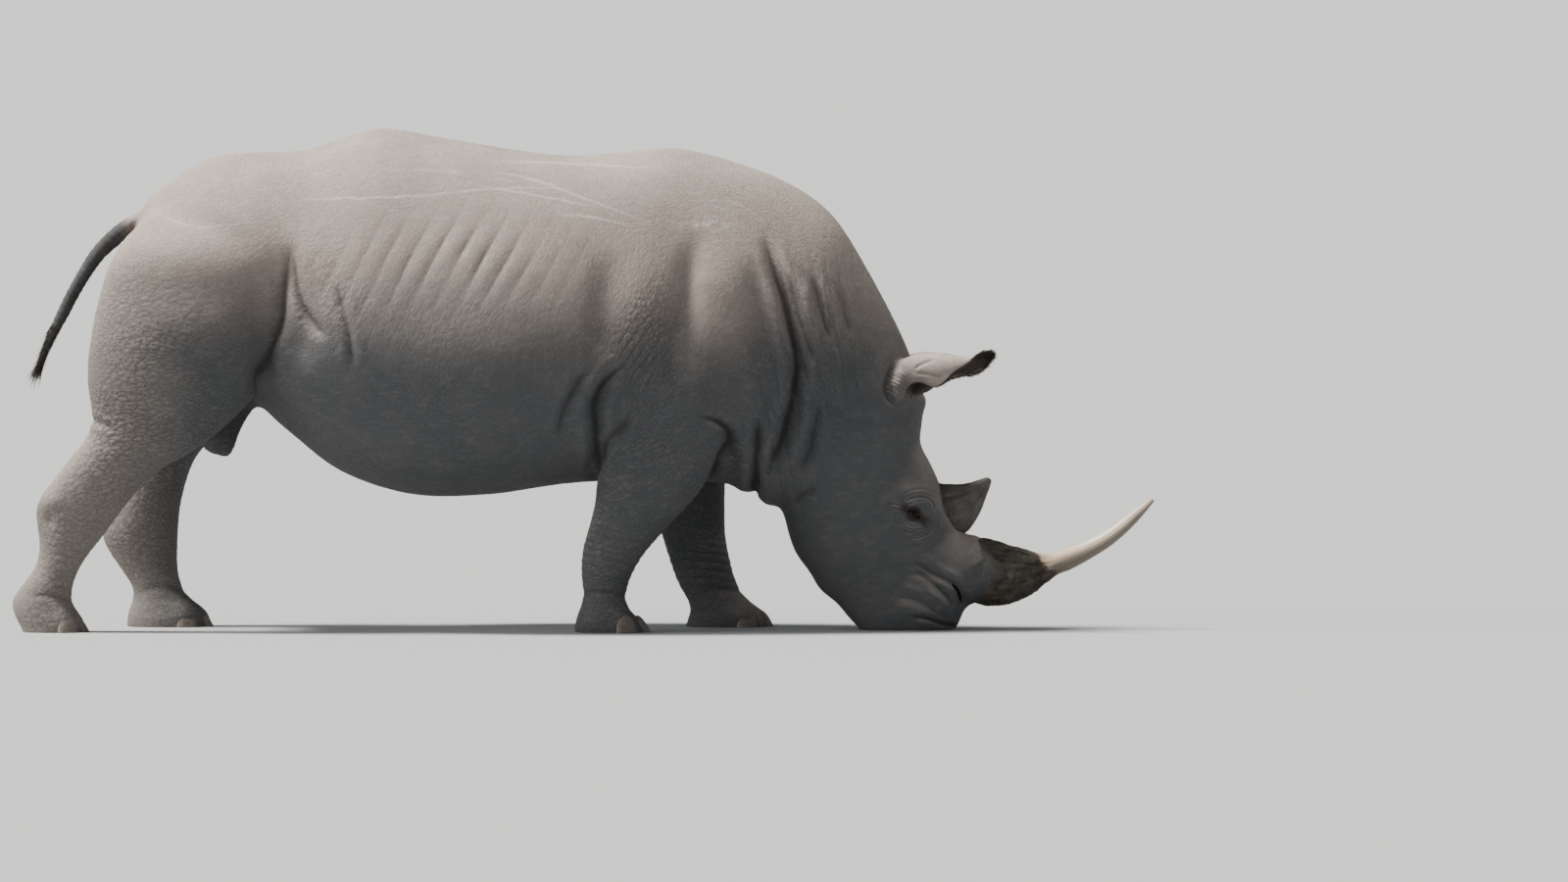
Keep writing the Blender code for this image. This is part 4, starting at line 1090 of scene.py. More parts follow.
# Old scratches in the dust of the back and the flank, as paths in the XZ plane.
SCRATCHES = [
    [(-0.628, 1.699), (-0.160, 1.654), (-0.088, 1.627), (0.254, 1.501)],
    [(-1.078, 1.582), (-0.520, 1.609), (-0.268, 1.631), (-0.088, 1.631)],
    [(-1.600, 1.546), (-1.438, 1.492), (-1.186, 1.510)],
    [(-0.376, 1.726), (-0.088, 1.717), (0.308, 1.699)],
    [(-0.088, 1.537), (0.060, 1.520), (0.182, 1.492)],
    [(-0.760, 1.700), (-0.520, 1.690), (-0.250, 1.655)],
    [(-0.391, 1.640), (-0.150, 1.600), (0.050, 1.560)],
    [(0.480, 1.600), (0.620, 1.540), (0.700, 1.470)],
]


def scratches(points):
    """How strongly each point is scratched pale or dusted. Only the right side is."""
    flat = points[:, [0, 2]] + 0.006 * drift(points, 0.05, (91, 92))
    broken = ramp(noise(points, 0.12, 93, 2), -0.60, 0.0) * (points[:, 1] < 0)
    value = np.zeros(len(points))
    for path in SCRATCHES:
        path = curve_through(path)
        near = near_path(flat, path, 0.02)
        signed, share = path_distance(flat[near], path)
        mark = np.exp(-((signed / SCRATCH_WIDTH) ** 2)) * np.sin(np.pi * share) ** 0.5
        value[near] = np.maximum(value[near], mark * broken[near])
    # a patch of pale dust on the shoulder and one on the ribs
    patch = blob(points, (0.450, -0.36, 1.495), (0.070, 0.3, 0.014), RIGHT)
    patch += blob(points, (-0.074, -0.46, 1.451), (0.012, 0.3, 0.016), RIGHT)
    return np.maximum(value, 1.4 * patch * ramp(noise(points, 0.018, 97, 2), -0.3, 0.5))


def trim_at_floor(mesh):
    """Everything below the floor goes, which leaves flat soles."""

    def trim(bm):
        everything = bm.verts[:] + bm.edges[:] + bm.faces[:]
        floor = {"plane_co": (0, 0, 0), "plane_no": (0, 0, 1)}
        cut = bmesh.ops.bisect_plane(bm, geom=everything, clear_inner=True, **floor)
        rim = [edge for edge in cut["geom_cut"] if isinstance(edge, bmesh.types.BMEdge)]
        bmesh.ops.holes_fill(bm, edges=rim)

    edit(mesh, trim)


def refine(mesh, centre, radius):
    """Halves the faces within a radius of a place, for the finest detail."""
    centre = Vector(centre)

    def halve(bm):
        edges = [edge for edge in bm.edges if (edge.verts[0].co - centre).length < radius]
        bmesh.ops.subdivide_edges(bm, edges=edges, cuts=1, use_grid_fill=True)

    edit(mesh, halve)


EYE_FINENESS = (0.105, 0.050)  # the skin's faces are halved within this of an eye, and again within this
# Other places where they are halved, on both sides, and within what radius.
FINER_PLACES = [
    ((1.36, 0.11, 0.14), 0.055),  # nostril
    ((1.19, 0.20, 0.91), 0.085),  # root of the ear
]


def shade_and_dark_skin(points, eyes_and_nostrils):
    """How dark each point is: painted shade in the nostrils, on the sheath and on the tail; dark skin round
    the eyes and dark hair in the ears, both with painted shade.
    """
    sheath = np.clip(0.8 * blob(points, (-1.31, 0, 0.76), (0.10, 0.07, 0.09)), 0, 0.5)
    tail = (0.45 + 0.25 * noise(points, 0.03, 98, 2)) * tail_share(points)
    return np.max([eyes_and_nostrils, 0.9 * ear_hair_and_shade(points), sheath, tail], axis=0)


def painted_sunlight(points):
    """1 where the hide is painted pale as sunlight: the back, the hindquarters, the front of the shoulder and
    the ears; lower down, the head and the tail are painted darker as shade.
    """
    level = points[:, 2] + 0.10 * noise(points, 0.5, 96, 2)
    high = ramp(level, 0.92, 1.48) * (1 - 0.75 * head_share(points))
    behind = ramp(-points[:, 0] - 0.10 * noise(points, 0.3, 97, 2), 1.35, 1.80)
    shoulder = np.clip(1.5 * blob(points, (0.50, -0.45, 1.25), (0.16, 0.4, 0.20)), 0, 1)
    ears = np.clip(1.6 * blob(points, *EARS), 0, 1)
    return np.max([high, 0.62 * behind, 0.85 * shoulder, ears], axis=0) * (1 - tail_share(points))


def dress_skin(mesh, eyes):
    """Gives the bare skin its folds, wrinkles, eyes and nostrils, and the numbers that its material reads."""
    raise_swellings(mesh)
    # how deep in a fold each point lies, which the material paints darker as shade
    store(mesh, "crease", press_folds(mesh))
    smooth(mesh, rounds=2, strength=0.4)
    points = points_of(mesh)
    calm = 1 - 0.75 * thin_share(points)
    for eye in eyes:
        calm *= 1 - 0.85 * np.exp(-((np.linalg.norm(points - eye, axis=1) / 0.06) ** 4))
    store(mesh, "calm", 1 - (1 - 0.4 * head_share(points)) * calm)
    height, tone = wrinkle(mesh, calm)
    store(mesh, "height", height)
    store(mesh, "tone", tone)
    for eye, radius in itertools.product(eyes, EYE_FINENESS):
        refine(mesh, eye, radius)
    for ((x, y, z), radius), side in itertools.product(FINER_PLACES, BOTH):
        refine(mesh, (x, side * y, z), radius)
    wrinkle_ear_roots(mesh)
    # the nostrils' slits are painted dark, as shade
    dark = open_nostrils(mesh)
    for eye in eyes:
        dark = np.maximum(dark, open_eye(mesh, eye))
    points = points_of(mesh)
    store(mesh, "dark", shade_and_dark_skin(points, dark))
    store(mesh, "scratch", scratches(points))
    # horn-like specks where the skin of the nose meets the front horn
    horny = ramp(points[:, 0] - 0.10 * points[:, 2], 1.410, 1.490) + 0.40 * noise(points, 0.022, 95, 3)
    horny = np.clip(horny, 0, 1) * ramp(points[:, 0], 1.36, 1.42)
    store(mesh, "horny", horny * below_forehead(points))
    feet = ramp(-points[:, 2], -0.34, -0.12) * (1 - neck_share(points))
    store(mesh, "dustless", np.maximum(0.8 * feet, tail_share(points)))
    # how much painted sunlight each point has: pale where lit, dark where shaded
    store(mesh, "high", painted_sunlight(points))
    store(mesh, "slant", ribs_share(points))
    # how far each point lies in a hollow, which the material paints darker as shade, and lighter as painted
    # light where it stands out
    hidden = neighbour_mean(edges_of(mesh), points) - points
    store(mesh, "hollow", np.clip((hidden * normals_of(mesh)).sum(axis=1) / SKIN_VOXEL, -1, 1))
    trim_at_floor(mesh)
    mesh.shade_smooth()


# ---------------------------------------------------------------- horns


HORN_THICKNESS = 0.10  # of a horn straightened out, for patterns that run along it


def make_horn(name, stations, along, around, length, material):
    """A smooth horn, and each point's place on it straightened out: round it, and down it to that length."""
    rings = limb_rings(stations, around, along, power=2.1)
    index = np.arange(along * around).reshape(along, around)
    mesh = mesh_of(name, rings, ring_faces(index) + [index[0][::-1].tolist(), index[-1].tolist()])
    edit(mesh, lambda bm: bmesh.ops.recalc_face_normals(bm, faces=bm.faces[:]))
    turn = np.tile(2 * np.pi * np.arange(around) / around, along)
    down = np.repeat(np.linspace(0, length, along), around)
    places = np.stack([np.cos(turn) * HORN_THICKNESS, np.sin(turn) * HORN_THICKNESS, down], axis=1)
    store(mesh, "places", places, "FLOAT_VECTOR")
    store(mesh, "reach", places[:, 2] / length)
    mesh.materials.append(material)
    mesh.shade_smooth()
    return add_object(name, mesh), places


def make_horn_front(material):
    length = 0.78
    horn, places = make_horn("front_horn", HORN_FRONT, 420, 160, length, material)
    mesh = horn.data
    points, normals = points_of(mesh), normals_of(mesh)
    # the skin of the nose reaches on to the horn's foot, furthest halfway up its side
    shore = points[:, 0] - 1.455 - 0.070 * np.exp(-(((points[:, 2] - 0.215) / 0.070) ** 2))
    shore += 0.014 * noise(points, 0.030, 107, 2)
    bare = ramp(shore, -0.010, 0.020)
    # the rough, fibrous foot of the horn
    base = ramp(-places[:, 2] / length - 0.04 * normals[:, 2], -0.46, -0.34)
    stretched = places * (1, 1, 0.10)
    fibres = noise(stretched, 0.010, 101, 3)
    cracks = np.abs(noise(stretched, 0.030, 102, 2))
    lumps = noise(points, 0.045, 103, 3)
    scales = noise(points, 0.016, 104, 2)
    move = base * (0.0055 * lumps + 0.0030 * scales + 0.0030 * fibres - 0.0070 * np.exp(-cracks / 0.06))
    # shreds of loose fibre hang from its lower edge
    under = ramp(-normals[:, 2], 0.2, 0.8) * base
    move += under * 0.008 * np.maximum(noise(stretched, 0.022, 105, 2), 0)
    move *= 0.15 + 0.85 * bare
    move += (1 - base) * bare * (0.0006 * fibres + 0.0010 * noise(stretched, 0.05, 106, 2))
    push_out(mesh, move)
    store(mesh, "base", base)
    store(mesh, "shore", shore)
    store(mesh, "cleft", np.exp(-cracks / 0.08) * base)
    return horn


def make_horn_rear(material):
    length = 0.20
    horn, places = make_horn("rear_horn", HORN_REAR, 200, 160, length, material)
    mesh = horn.data
    points = points_of(mesh)
    down = places[:, 2] / length
    stretched = places * (1, 1, 0.14)
    fibres = noise(stretched, 0.009, 111, 3)
    cracks = np.abs(noise(stretched, 0.035, 112, 2))
    foot = ramp(-down, -0.42, -0.15)
    move = 0.0009 * fibres + 0.0020 * noise(points, 0.05, 113, 2)
    move += foot * 0.0030 * noise(points, 0.014, 114, 2)
    move -= (0.0015 + 0.0035 * foot) * np.exp(-cracks / 0.05)
    push_out(mesh, move * ramp(down, 0.98, 0.70))
    store(mesh, "base", 0.35 + 0.65 * foot)
    store(mesh, "cleft", np.exp(-cracks / 0.07))
    return horn


# ---------------------------------------------------------------- eyes and toenails


def make_eye(name, centre, gaze, material):
    """An eyeball with a raised cornea, which looks along its gaze."""
    bm = bmesh.new()
    bmesh.ops.create_uvsphere(bm, u_segments=64, v_segments=48, radius=EYE_RADIUS)
    eye = new_object(name, bm)
    points = points_of(eye.data)
    from_middle = np.arccos(np.clip(points[:, 2] / EYE_RADIUS, -1, 1))
    points *= (1 + 0.05 * np.exp(-((from_middle / 0.55) ** 4)))[:, None]
    turn = Vector((0, 0, 1)).rotation_difference(Vector(gaze))
    points = points @ np.array(turn.to_matrix()).T + centre
    set_points(eye.data, points)
    store(eye.data, "from_middle", from_middle)
    eye.data.materials.append(material)
    eye.data.shade_smooth()
    return eye


# Toenails: name, half width and how far each leans back, in degrees.
TOES = [("inner", 0.040, 14), ("middle", 0.052, 28), ("outer", 0.040, 14)]
NAIL_THICKNESS = 0.022
NAIL_HEIGHT = 0.066
NAIL_INSET = 0.93  # of the way from the middle of the sole to its edge


def make_toenails(leg_name, stations, material):
    """Three hoof-like nails round the front of one foot, flat on the floor."""
    nails = []
    for number, (toe, place) in enumerate(zip(TOES, toe_places(stations))):
        label, half_across, lean = toe
        middle, edge, outward = place
        bm = bmesh.new()
        bmesh.ops.create_uvsphere(bm, u_segments=72, v_segments=48, radius=1)
        nail = new_object(f"{leg_name}_nail_{label}", bm)
        mesh = nail.data
        points = points_of(mesh)
        # squarer than an egg, with growth rings across and fine grooves down its face
        points = np.sign(points) * np.abs(points) ** (0.85, 0.85, 0.80)
        seed = 200 + number + 10 * len(leg_name)
        rings = 0.020 * noise(points * (0.3, 0.3, 1), 0.11, seed, 2)
        grooves = 0.025 * noise(points * (0.3, 1, 0.12), 0.07, seed + 1, 2)
        chips = 0.05 * noise(points, 0.35, seed + 2, 2) * ramp(-points[:, 2], -0.35, 0.1)
        points *= (1 + rings + grooves + chips)[:, None]
        store(mesh, "places", points, "FLOAT_VECTOR")
        size = Matrix.Diagonal((NAIL_THICKNESS, half_across, NAIL_HEIGHT, 1))
        tilt = Matrix.Rotation(-math.radians(lean), 4, "Y")
        turn = Matrix.Rotation(outward, 4, "Z")
        set_points(mesh, points)
        mesh.transform(Matrix.Translation(middle + NAIL_INSET * edge) @ turn @ tilt @ size)
        trim_at_floor(mesh)
        mesh.materials.append(material)
        mesh.shade_smooth()
        nails.append(nail)
    return nails


# ---------------------------------------------------------------- hair


TUFT_ROWS = 7  # of points along a tuft
TUFT_PATCH = 0.003  # across a tuft's own patch of the map
HAIR_DEPTH = 0.002  # of a tuft's root in the skin


def make_hair(name, roots, directions, lengths, width, bends, patches, material):
    """Tufts as thin blades of three sides, joined into one mesh. Each has a small patch of the map."""
    rows = np.linspace(0, 1, TUFT_ROWS)
    count = len(roots)
    side = units(np.cross(directions, bends))
    lift = np.cross(side, directions)
    points = np.empty((count, TUFT_ROWS, 3, 3))
    for k, row in enumerate(rows):
        centre = roots + directions * (lengths * row)[:, None] + bends * (lengths * row**2)[:, None]
        half = width * (1 - row) ** 0.7 + 0.00015
        points[:, k, 0] = centre - side * half
        points[:, k, 1] = centre + side * half
        points[:, k, 2] = centre + lift * (half * 0.8)
    index = np.arange(count * TUFT_ROWS * 3).reshape(count, TUFT_ROWS, 3)
    caps = np.concatenate([index[:, 0, ::-1], index[:, -1]])
    mesh = mesh_of(name, points, ring_faces(index) + caps.tolist())
    down = np.broadcast_to(rows[None, :, None], index.shape)
    store(mesh, "row", down)
    spot = np.stack([down, np.broadcast_to(np.arange(3) / 2, index.shape)], axis=-1).reshape(-1, 2)
    corner = np.repeat(patches, TUFT_ROWS * 3, axis=0) + TUFT_PATCH * (spot - 0.5)
    loops = np.empty(len(mesh.loops), np.int32)
    mesh.loops.foreach_get("vertex_index", loops)
    layer = mesh.uv_layers.new(name="OFBake")
    layer.data.foreach_set("uv", np.clip(corner[loops], 0, 1).astype(np.float32).ravel())
    mesh.materials.append(material)
    mesh.shade_smooth()
    return add_object(name, mesh)


TAIL_TUFTS = 900
TAIL_HAIR_SHARE = 0.22  # of the tail's length, from its tip


def make_tail_tuft(material):
    """Stiff black hair in a fringe down both edges of the tail's end and hanging from its tip."""
    random = np.random.default_rng(7)
    steps, count = 200, TAIL_TUFTS
    rows = resample(TAIL, steps)
    share = 1 - random.random(count) ** 1.6 * TAIL_HAIR_SHARE
    place = np.clip((share * (steps - 1)).astype(int), 0, steps - 1)
    angle = random.random(count) * 2 * np.pi
    row, middle = rows[place], middles(rows[place])
    half = (row[:, 0:2] - row[:, 2:4]) / 2
    down = units(middle - middles(rows[np.maximum(place - 4, 0)]))
    # round the tail's section: fore and aft by the cosine, and across by the sine
    cosine, sine = np.cos(angle), np.sin(angle)
    aft = half * cosine[:, None]
    roots = np.stack([middle[:, 0] + aft[:, 0], row[:, 5] * sine, middle[:, 1] + aft[:, 1]], axis=1)
    outward = units(np.stack([aft[:, 0] / 0.02, sine, aft[:, 1] / 0.02], axis=1))
    directions = np.stack([down[:, 0], 0 * sine, down[:, 1]], axis=1)
    directions += outward * (0.04 + 0.14 * random.random((count, 1)))
    directions = units(directions + 0.07 * random.standard_normal((count, 3)))
    lengths = (0.026 + 0.018 * random.random(count)) * (1 + 0.8 * ramp(share, 0.96, 1.0))
    bends = 0.20 * random.standard_normal((count, 3)) - outward * 0.15 + np.array((-0.15, 0, -0.15))
    patches = np.stack([angle / (2 * np.pi), (share - 1) / TAIL_HAIR_SHARE + 1], axis=1) * 0.98 + 0.01
    roots -= outward * HAIR_DEPTH
    return make_hair("tail_hair", roots, directions, lengths, 0.0011, bends, patches, material)


EAR_TUFTS = 4200
EAR_HAIR_SHARE = 0.52  # of the ear's length, from its point


def make_ear_hair(name, side, skin, material):
    """Short dense dark hair inside an ear, along both its rims and round its point, rooted on the skin."""
    random = np.random.default_rng(11 + side)
    rings = np.array([[tuple(point) for point in ring] for ring in ear_rings(side)])
    centres = rings.mean(axis=1)
    count, last = EAR_TUFTS, EAR_RINGS - 1
    place = np.minimum(last - last * EAR_HAIR_SHARE * random.random(count) ** 1.15, last - 0.001)
    low = place.astype(int)
    high = np.minimum(low + 1, last)
    part = (place - low)[:, None]
    # a ring runs round the outside of the wall first, and then back along its inside
    rim = random.random(count) < 0.32
    edge = np.where(random.random(count) < 0.5, 0, EAR_ARC - 1)
    inside = EAR_ARC + random.random(count) * (EAR_ARC - 1)
    spot = np.where(rim, edge, inside.astype(int))
    roots = rings[low, spot] * (1 - part) + rings[high, spot] * part
    roots += 0.0015 * random.standard_normal((count, 3))
    out = np.empty((count, 3))
    for i, root in enumerate(roots):
        _, nearest, normal, _ = skin.closest_point_on_mesh(Vector(root))
        roots[i] = nearest - normal * HAIR_DEPTH
        out[i] = normal
    axis = units(centres[high] - centres[np.maximum(low - 2, 0)])
    opening = np.array(EAR_OPENING) * (1, -side, 1)
    directions = axis * 0.80 + out * 0.45 + opening * 0.20 + 0.20 * random.standard_normal((count, 3))
    directions = units(directions)
    share = place / last
    lengths = (0.005 + 0.006 * random.random(count)) * (1 + 0.7 * ramp(share, 0.80, 1.0))
    bends = axis * 0.3 + 0.2 * random.standard_normal((count, 3))
    round_ear = (spot + random.random(count)) / (2 * EAR_ARC + 2)
    down_ear = (share - 1 + EAR_HAIR_SHARE) / EAR_HAIR_SHARE
    patches = np.clip(np.stack([round_ear, down_ear], axis=1), 0.01, 0.99)
    return make_hair(name, roots, directions, lengths, 0.0008, bends, patches, material)


# ---------------------------------------------------------------- materials


class Shader:
    """A material's nodes, made by short calls that return their first output."""

    def __init__(self, name, **surface):
        self.material = bpy.data.materials.new(name)
        self.material.use_nodes = True
        self.tree = self.material.node_tree
        self.surface = self.tree.nodes["Principled BSDF"]
        for socket, value in surface.items():
            self.surface.inputs[socket.replace("_", " ")].default_value = value

    def node(self, kind, inputs, **settings):
        made = self.tree.nodes.new("ShaderNode" + kind)
        for key, value in settings.items():
            setattr(made, key, value)
        for key, value in inputs.items():
            if isinstance(value, bpy.types.NodeSocket):
                self.tree.links.new(value, made.inputs[key])
            else:
                made.inputs[key].default_value = value
        return made

    def number(self, name):
        return self.node("Attribute", {}, attribute_name=name).outputs["Fac"]

    def vector(self, name):
        return self.node("Attribute", {}, attribute_name=name).outputs["Vector"]

    def place(self):
        return self.node("TexCoord", {}).outputs["Object"]

    def height_of(self, vector):
        return self.node("SeparateXYZ", {"Vector": vector}).outputs["Z"]

    def facing_up(self):
        """1 on a surface that faces up, -1 on one that faces down."""
        return self.height_of(self.node("NewGeometry", {}).outputs["Normal"])

    def stretched(self, vector, scale=(1, 1, 1), rotation=(0, 0, 0)):
        turned = self.node("Mapping", {"Vector": vector, "Rotation": rotation}).outputs[0]
        return self.node("Mapping", {"Vector": turned, "Scale": scale}).outputs[0]

    def noise(self, vector, scale, detail=3, roughness=0.5):
        inputs = {"Vector": vector, "Scale": scale, "Detail": detail, "Roughness": roughness}
        return self.node("TexNoise", inputs).outputs["Fac"]

    def cracks(self, vector, scale):
        """The distance from the nearest edge between random cells."""
        inputs = {"Vector": vector, "Scale": scale}
        return self.node("TexVoronoi", inputs, feature="DISTANCE_TO_EDGE").outputs["Distance"]

    def math(self, operation, first, second):
        return self.node("Math", {0: first, 1: second}, operation=operation).outputs[0]

    def add(self, first, second):
        return self.math("ADD", first, second)

    def times(self, first, *others):
        for other in others:
            first = self.math("MULTIPLY", first, other)
        return first

    def ramp(self, value, low, high, to_low=0.0, to_high=1.0):
        inputs = {"Value": value, "From Min": low, "From Max": high, "To Min": to_low, "To Max": to_high}
        return self.node("MapRange", inputs).outputs["Result"]

    def blend(self, share, first, second, mode="MIX"):
        made = self.node("Mix", {"Factor": share}, data_type="RGBA", blend_type=mode)
        for socket, value in ((made.inputs[6], first), (made.inputs[7], second)):
            if isinstance(value, bpy.types.NodeSocket):
                self.tree.links.new(value, socket)
            else:
                socket.default_value = (*value, 1)
        return made.outputs[2]

    def mix(self, share, first, second):
        made = self.node("Mix", {"Factor": share, "A": first, "B": second}, data_type="FLOAT")
        return made.outputs[0]

    def bump(self, height, strength, distance, below=None):
        inputs = {"Height": height, "Strength": strength, "Distance": distance}
        if below:
            inputs["Normal"] = below
        return self.node("Bump", inputs).outputs[0]

    def connect(self, socket, value):
        self.tree.links.new(value, self.surface.inputs[socket])


CELL_SCALE = 62.0  # of the small cells, which are only colour and bump


def hide_material():
    s = Shader("hide", Roughness=0.85, Specular_IOR_Level=0.28)
    place = s.place()
    wobble = s.node("TexNoise", {"Vector": place, "Scale": 18.0, "Detail": 2.0}).outputs["Color"]
    wobble = s.node("VectorMath", {0: wobble, "Scale": 0.03}, operation="SCALE").outputs[0]
    cells = []
    for scale, tilt in (((1, 1, 2.2), 0), ((2.2, 1, 1), -28)):
        lie = s.stretched(place, scale, (0, math.radians(tilt), 0))
        lie = s.node("VectorMath", {0: lie, 1: wobble}, operation="ADD").outputs[0]
        cells.append(s.cracks(lie, CELL_SCALE))
    fine = s.ramp(s.mix(s.number("slant"), *cells), 0.0, 0.20)
    pebbles = s.ramp(s.cracks(place, 190.0), 0.0, 0.20)
    height, crease = s.number("height"), s.number("crease")
    tone, dark, hollow = s.number("tone"), s.number("dark"), s.number("hollow")
    large = s.noise(place, 1.6, 4, 0.55)
    middle = s.noise(place, 7.0, 4, 0.6)
    small = s.noise(place, 45.0, 3, 0.6)

    # the hide's colour in painted shade and in painted sunlight, mixed by how much painted sunlight each
    # point has
    dull = s.blend(s.ramp(large, 0.35, 0.65), (0.051, 0.055, 0.060), (0.064, 0.067, 0.070))
    pale = s.blend(s.ramp(large, 0.35, 0.65), (0.212, 0.179, 0.155), (0.272, 0.231, 0.201))
    colour = s.blend(s.number("high"), dull, pale)
    colour = s.blend(s.ramp(middle, 0.35, 0.75, 0.0, 0.18), colour, (0.130, 0.123, 0.118))
    # dust lies on what faces up
    dusty = s.times(s.ramp(s.facing_up(), 0.05, 0.95), s.ramp(middle, 0.25, 0.65, 0.55, 1.0))
    dusty = s.times(dusty, s.ramp(s.number("dustless"), 0.0, 1.0, 0.72, 0.0))
    colour = s.blend(dusty, colour, (0.49, 0.418, 0.362))
    # each cell has its own tone
    colour = s.blend(s.ramp(tone, 0.0, 1.0, 0.10, 0.0), colour, (0.055, 0.050, 0.048))
    colour = s.blend(s.ramp(tone, 0.5, 1.0, 0.0, 0.04), colour, (0.34, 0.31, 0.285))
    # painted shade in the creases between cells, in the hollows and in the folds, and painted light where the
    # skin stands out; with a random mottle
    shade = s.times(
        s.ramp(height, 0.0, 0.7, 0.79, 1.03),
        s.ramp(fine, 0.0, 1.0, 0.88, 1.02),
        s.ramp(hollow, -0.10, 0.12, 1.12, 0.78),
        s.ramp(small, 0.3, 0.7, 0.93, 1.06),
        s.ramp(crease, 0.0, 0.9, 1.0, 0.50),
    )
    shade = s.node("CombineColor", {"Red": shade, "Green": shade, "Blue": shade}).outputs[0]
    colour = s.blend(1.0, colour, shade, "MULTIPLY")
    colour = s.blend(s.times(s.number("scratch"), 0.55), colour, (0.60, 0.53, 0.47))
    # crumbs of horn on the nose
    specks = s.ramp(s.noise(place, 90.0, 3, 0.65), 0.40, 0.60)
    horny = s.ramp(s.add(s.number("horny"), s.times(specks, 0.35)), 0.55, 0.95)
    crust = s.blend(specks, (0.018, 0.016, 0.013), (0.060, 0.053, 0.044))
    colour = s.blend(s.times(horny, 0.85), colour, crust)
    # darkens where painted shade falls: nostrils, ears, sheath, tail and round the eyes, with the dark skin
    # and hair there
    colour = s.blend(s.times(dark, 0.92), colour, (0.020, 0.016, 0.014))
    s.connect("Base Color", colour)
    s.connect("Roughness", s.ramp(small, 0.3, 0.7, 0.78, 0.92))
    normal = s.bump(s.mix(0.35, fine, pebbles), s.ramp(s.number("calm"), 0.0, 0.8, 0.60, 0.12), 0.0028)
    s.connect("Normal", s.bump(s.noise(place, 420.0, 2), 0.20, 0.0008, normal))
    return s.material


def horn_material():
    s = Shader("horn", Roughness=0.5, Specular_IOR_Level=0.4)
    place, places = s.place(), s.vector("places")
    fibre = s.noise(s.stretched(places, (1, 1, 0.05)), 160.0, 4, 0.6)
    coarse = s.noise(s.stretched(places, (1, 1, 0.14)), 60.0, 5, 0.65)
    blotch = s.noise(place, 26.0, 4, 0.6)
    base, reach, cleft = s.number("base"), s.number("reach"), s.number("cleft")
    up = s.facing_up()

    shaft = s.blend(s.ramp(reach, 0.38, 0.75), (0.50, 0.36, 0.25), (0.66, 0.55, 0.43))
    shaft = s.blend(s.ramp(fibre, 0.40, 0.70, 0.0, 0.7), shaft, (0.36, 0.265, 0.185))
    shaft = s.blend(s.ramp(reach, 0.95, 1.0, 0.0, 0.35), shaft, (0.20, 0.16, 0.125))
    # the underside is painted dark, as shade, in streaks along the fibres
    under = s.add(up, s.ramp(fibre, 0.3, 0.7, -0.15, 0.15))
    shaft = s.blend(s.ramp(under, 0.30, -0.20, 0.0, 0.85), shaft, (0.075, 0.065, 0.056))
    # the foot is dark, matted fibre
    rough = s.blend(s.ramp(coarse, 0.35, 0.65), (0.017, 0.014, 0.011), (0.062, 0.050, 0.038))
    rough = s.blend(s.ramp(blotch, 0.52, 0.70, 0.0, 0.7), rough, (0.105, 0.095, 0.076))
    rough = s.blend(s.ramp(blotch, 0.44, 0.32, 0.0, 0.9), rough, (0.012, 0.010, 0.008))
    # the hide of the nose runs out over it in patches
    patches = s.add(s.times(blotch, 0.10), s.times(coarse, 0.06))
    skin_like = s.ramp(s.add(s.number("shore"), patches), 0.100, 0.062)
    cells = s.ramp(s.cracks(place, CELL_SCALE), 0.0, 0.20)
    hide = s.blend(s.ramp(blotch, 0.30, 0.70), (0.040, 0.043, 0.047), (0.092, 0.090, 0.089))
    hide = s.blend(s.ramp(up, -0.05, 0.60, 0.0, 0.6), hide, (0.165, 0.143, 0.125))
    # darker in the cracks between cells, as on the hide: painted shade
    hide = s.blend(s.ramp(cells, 0.0, 1.0, 0.25, 0.0), hide, (0.030, 0.030, 0.030))
    uneven = s.math("SUBTRACT", coarse, 0.5)
    edge = s.ramp(s.add(base, s.times(uneven, 1.3)), 0.35, 0.60)
    edge = s.math("MAXIMUM", edge, skin_like)
    colour = s.blend(edge, shaft, rough)
    colour = s.blend(s.times(cleft, 0.7), colour, (0.015, 0.012, 0.010))
    s.connect("Base Color", s.blend(skin_like, colour, hide))
    s.connect("Roughness", s.mix(edge, s.ramp(fibre, 0.3, 0.7, 0.38, 0.55), 0.88))
    normal = s.bump(fibre, 0.35, 0.0012)
    normal = s.bump(coarse, s.ramp(base, 0.0, 1.0, 0.05, 0.8), 0.0040, normal)
    s.connect("Normal", s.bump(cells, s.ramp(skin_like, 0.0, 1.0, 0.0, 0.6), 0.0028, normal))
    return s.material


def rear_horn_material():
    s = Shader("horn_dark", Roughness=0.6, Specular_IOR_Level=0.35)
    places = s.vector("places")
    fibre = s.noise(s.stretched(places, (1, 1, 0.10)), 110.0, 4, 0.6)
    blotch = s.noise(s.place(), 22.0, 5, 0.6)
    base, cleft = s.number("base"), s.number("cleft")
    colour = s.blend(s.ramp(blotch, 0.35, 0.65), (0.048, 0.043, 0.039), (0.100, 0.088, 0.078))
    colour = s.blend(s.ramp(fibre, 0.40, 0.68, 0.0, 0.6), colour, (0.036, 0.031, 0.028))
    colour = s.blend(s.ramp(base, 0.5, 1.0, 0.0, 0.6), colour, (0.034, 0.029, 0.025))
    colour = s.blend(s.times(cleft, 0.5), colour, (0.022, 0.018, 0.015))
    s.connect("Base Color", colour)
    s.connect("Roughness", s.ramp(fibre, 0.3, 0.7, 0.50, 0.72))
    normal = s.bump(fibre, 0.45, 0.0014)
    s.connect("Normal", s.bump(blotch, 0.4, 0.0040, normal))
    return s.material


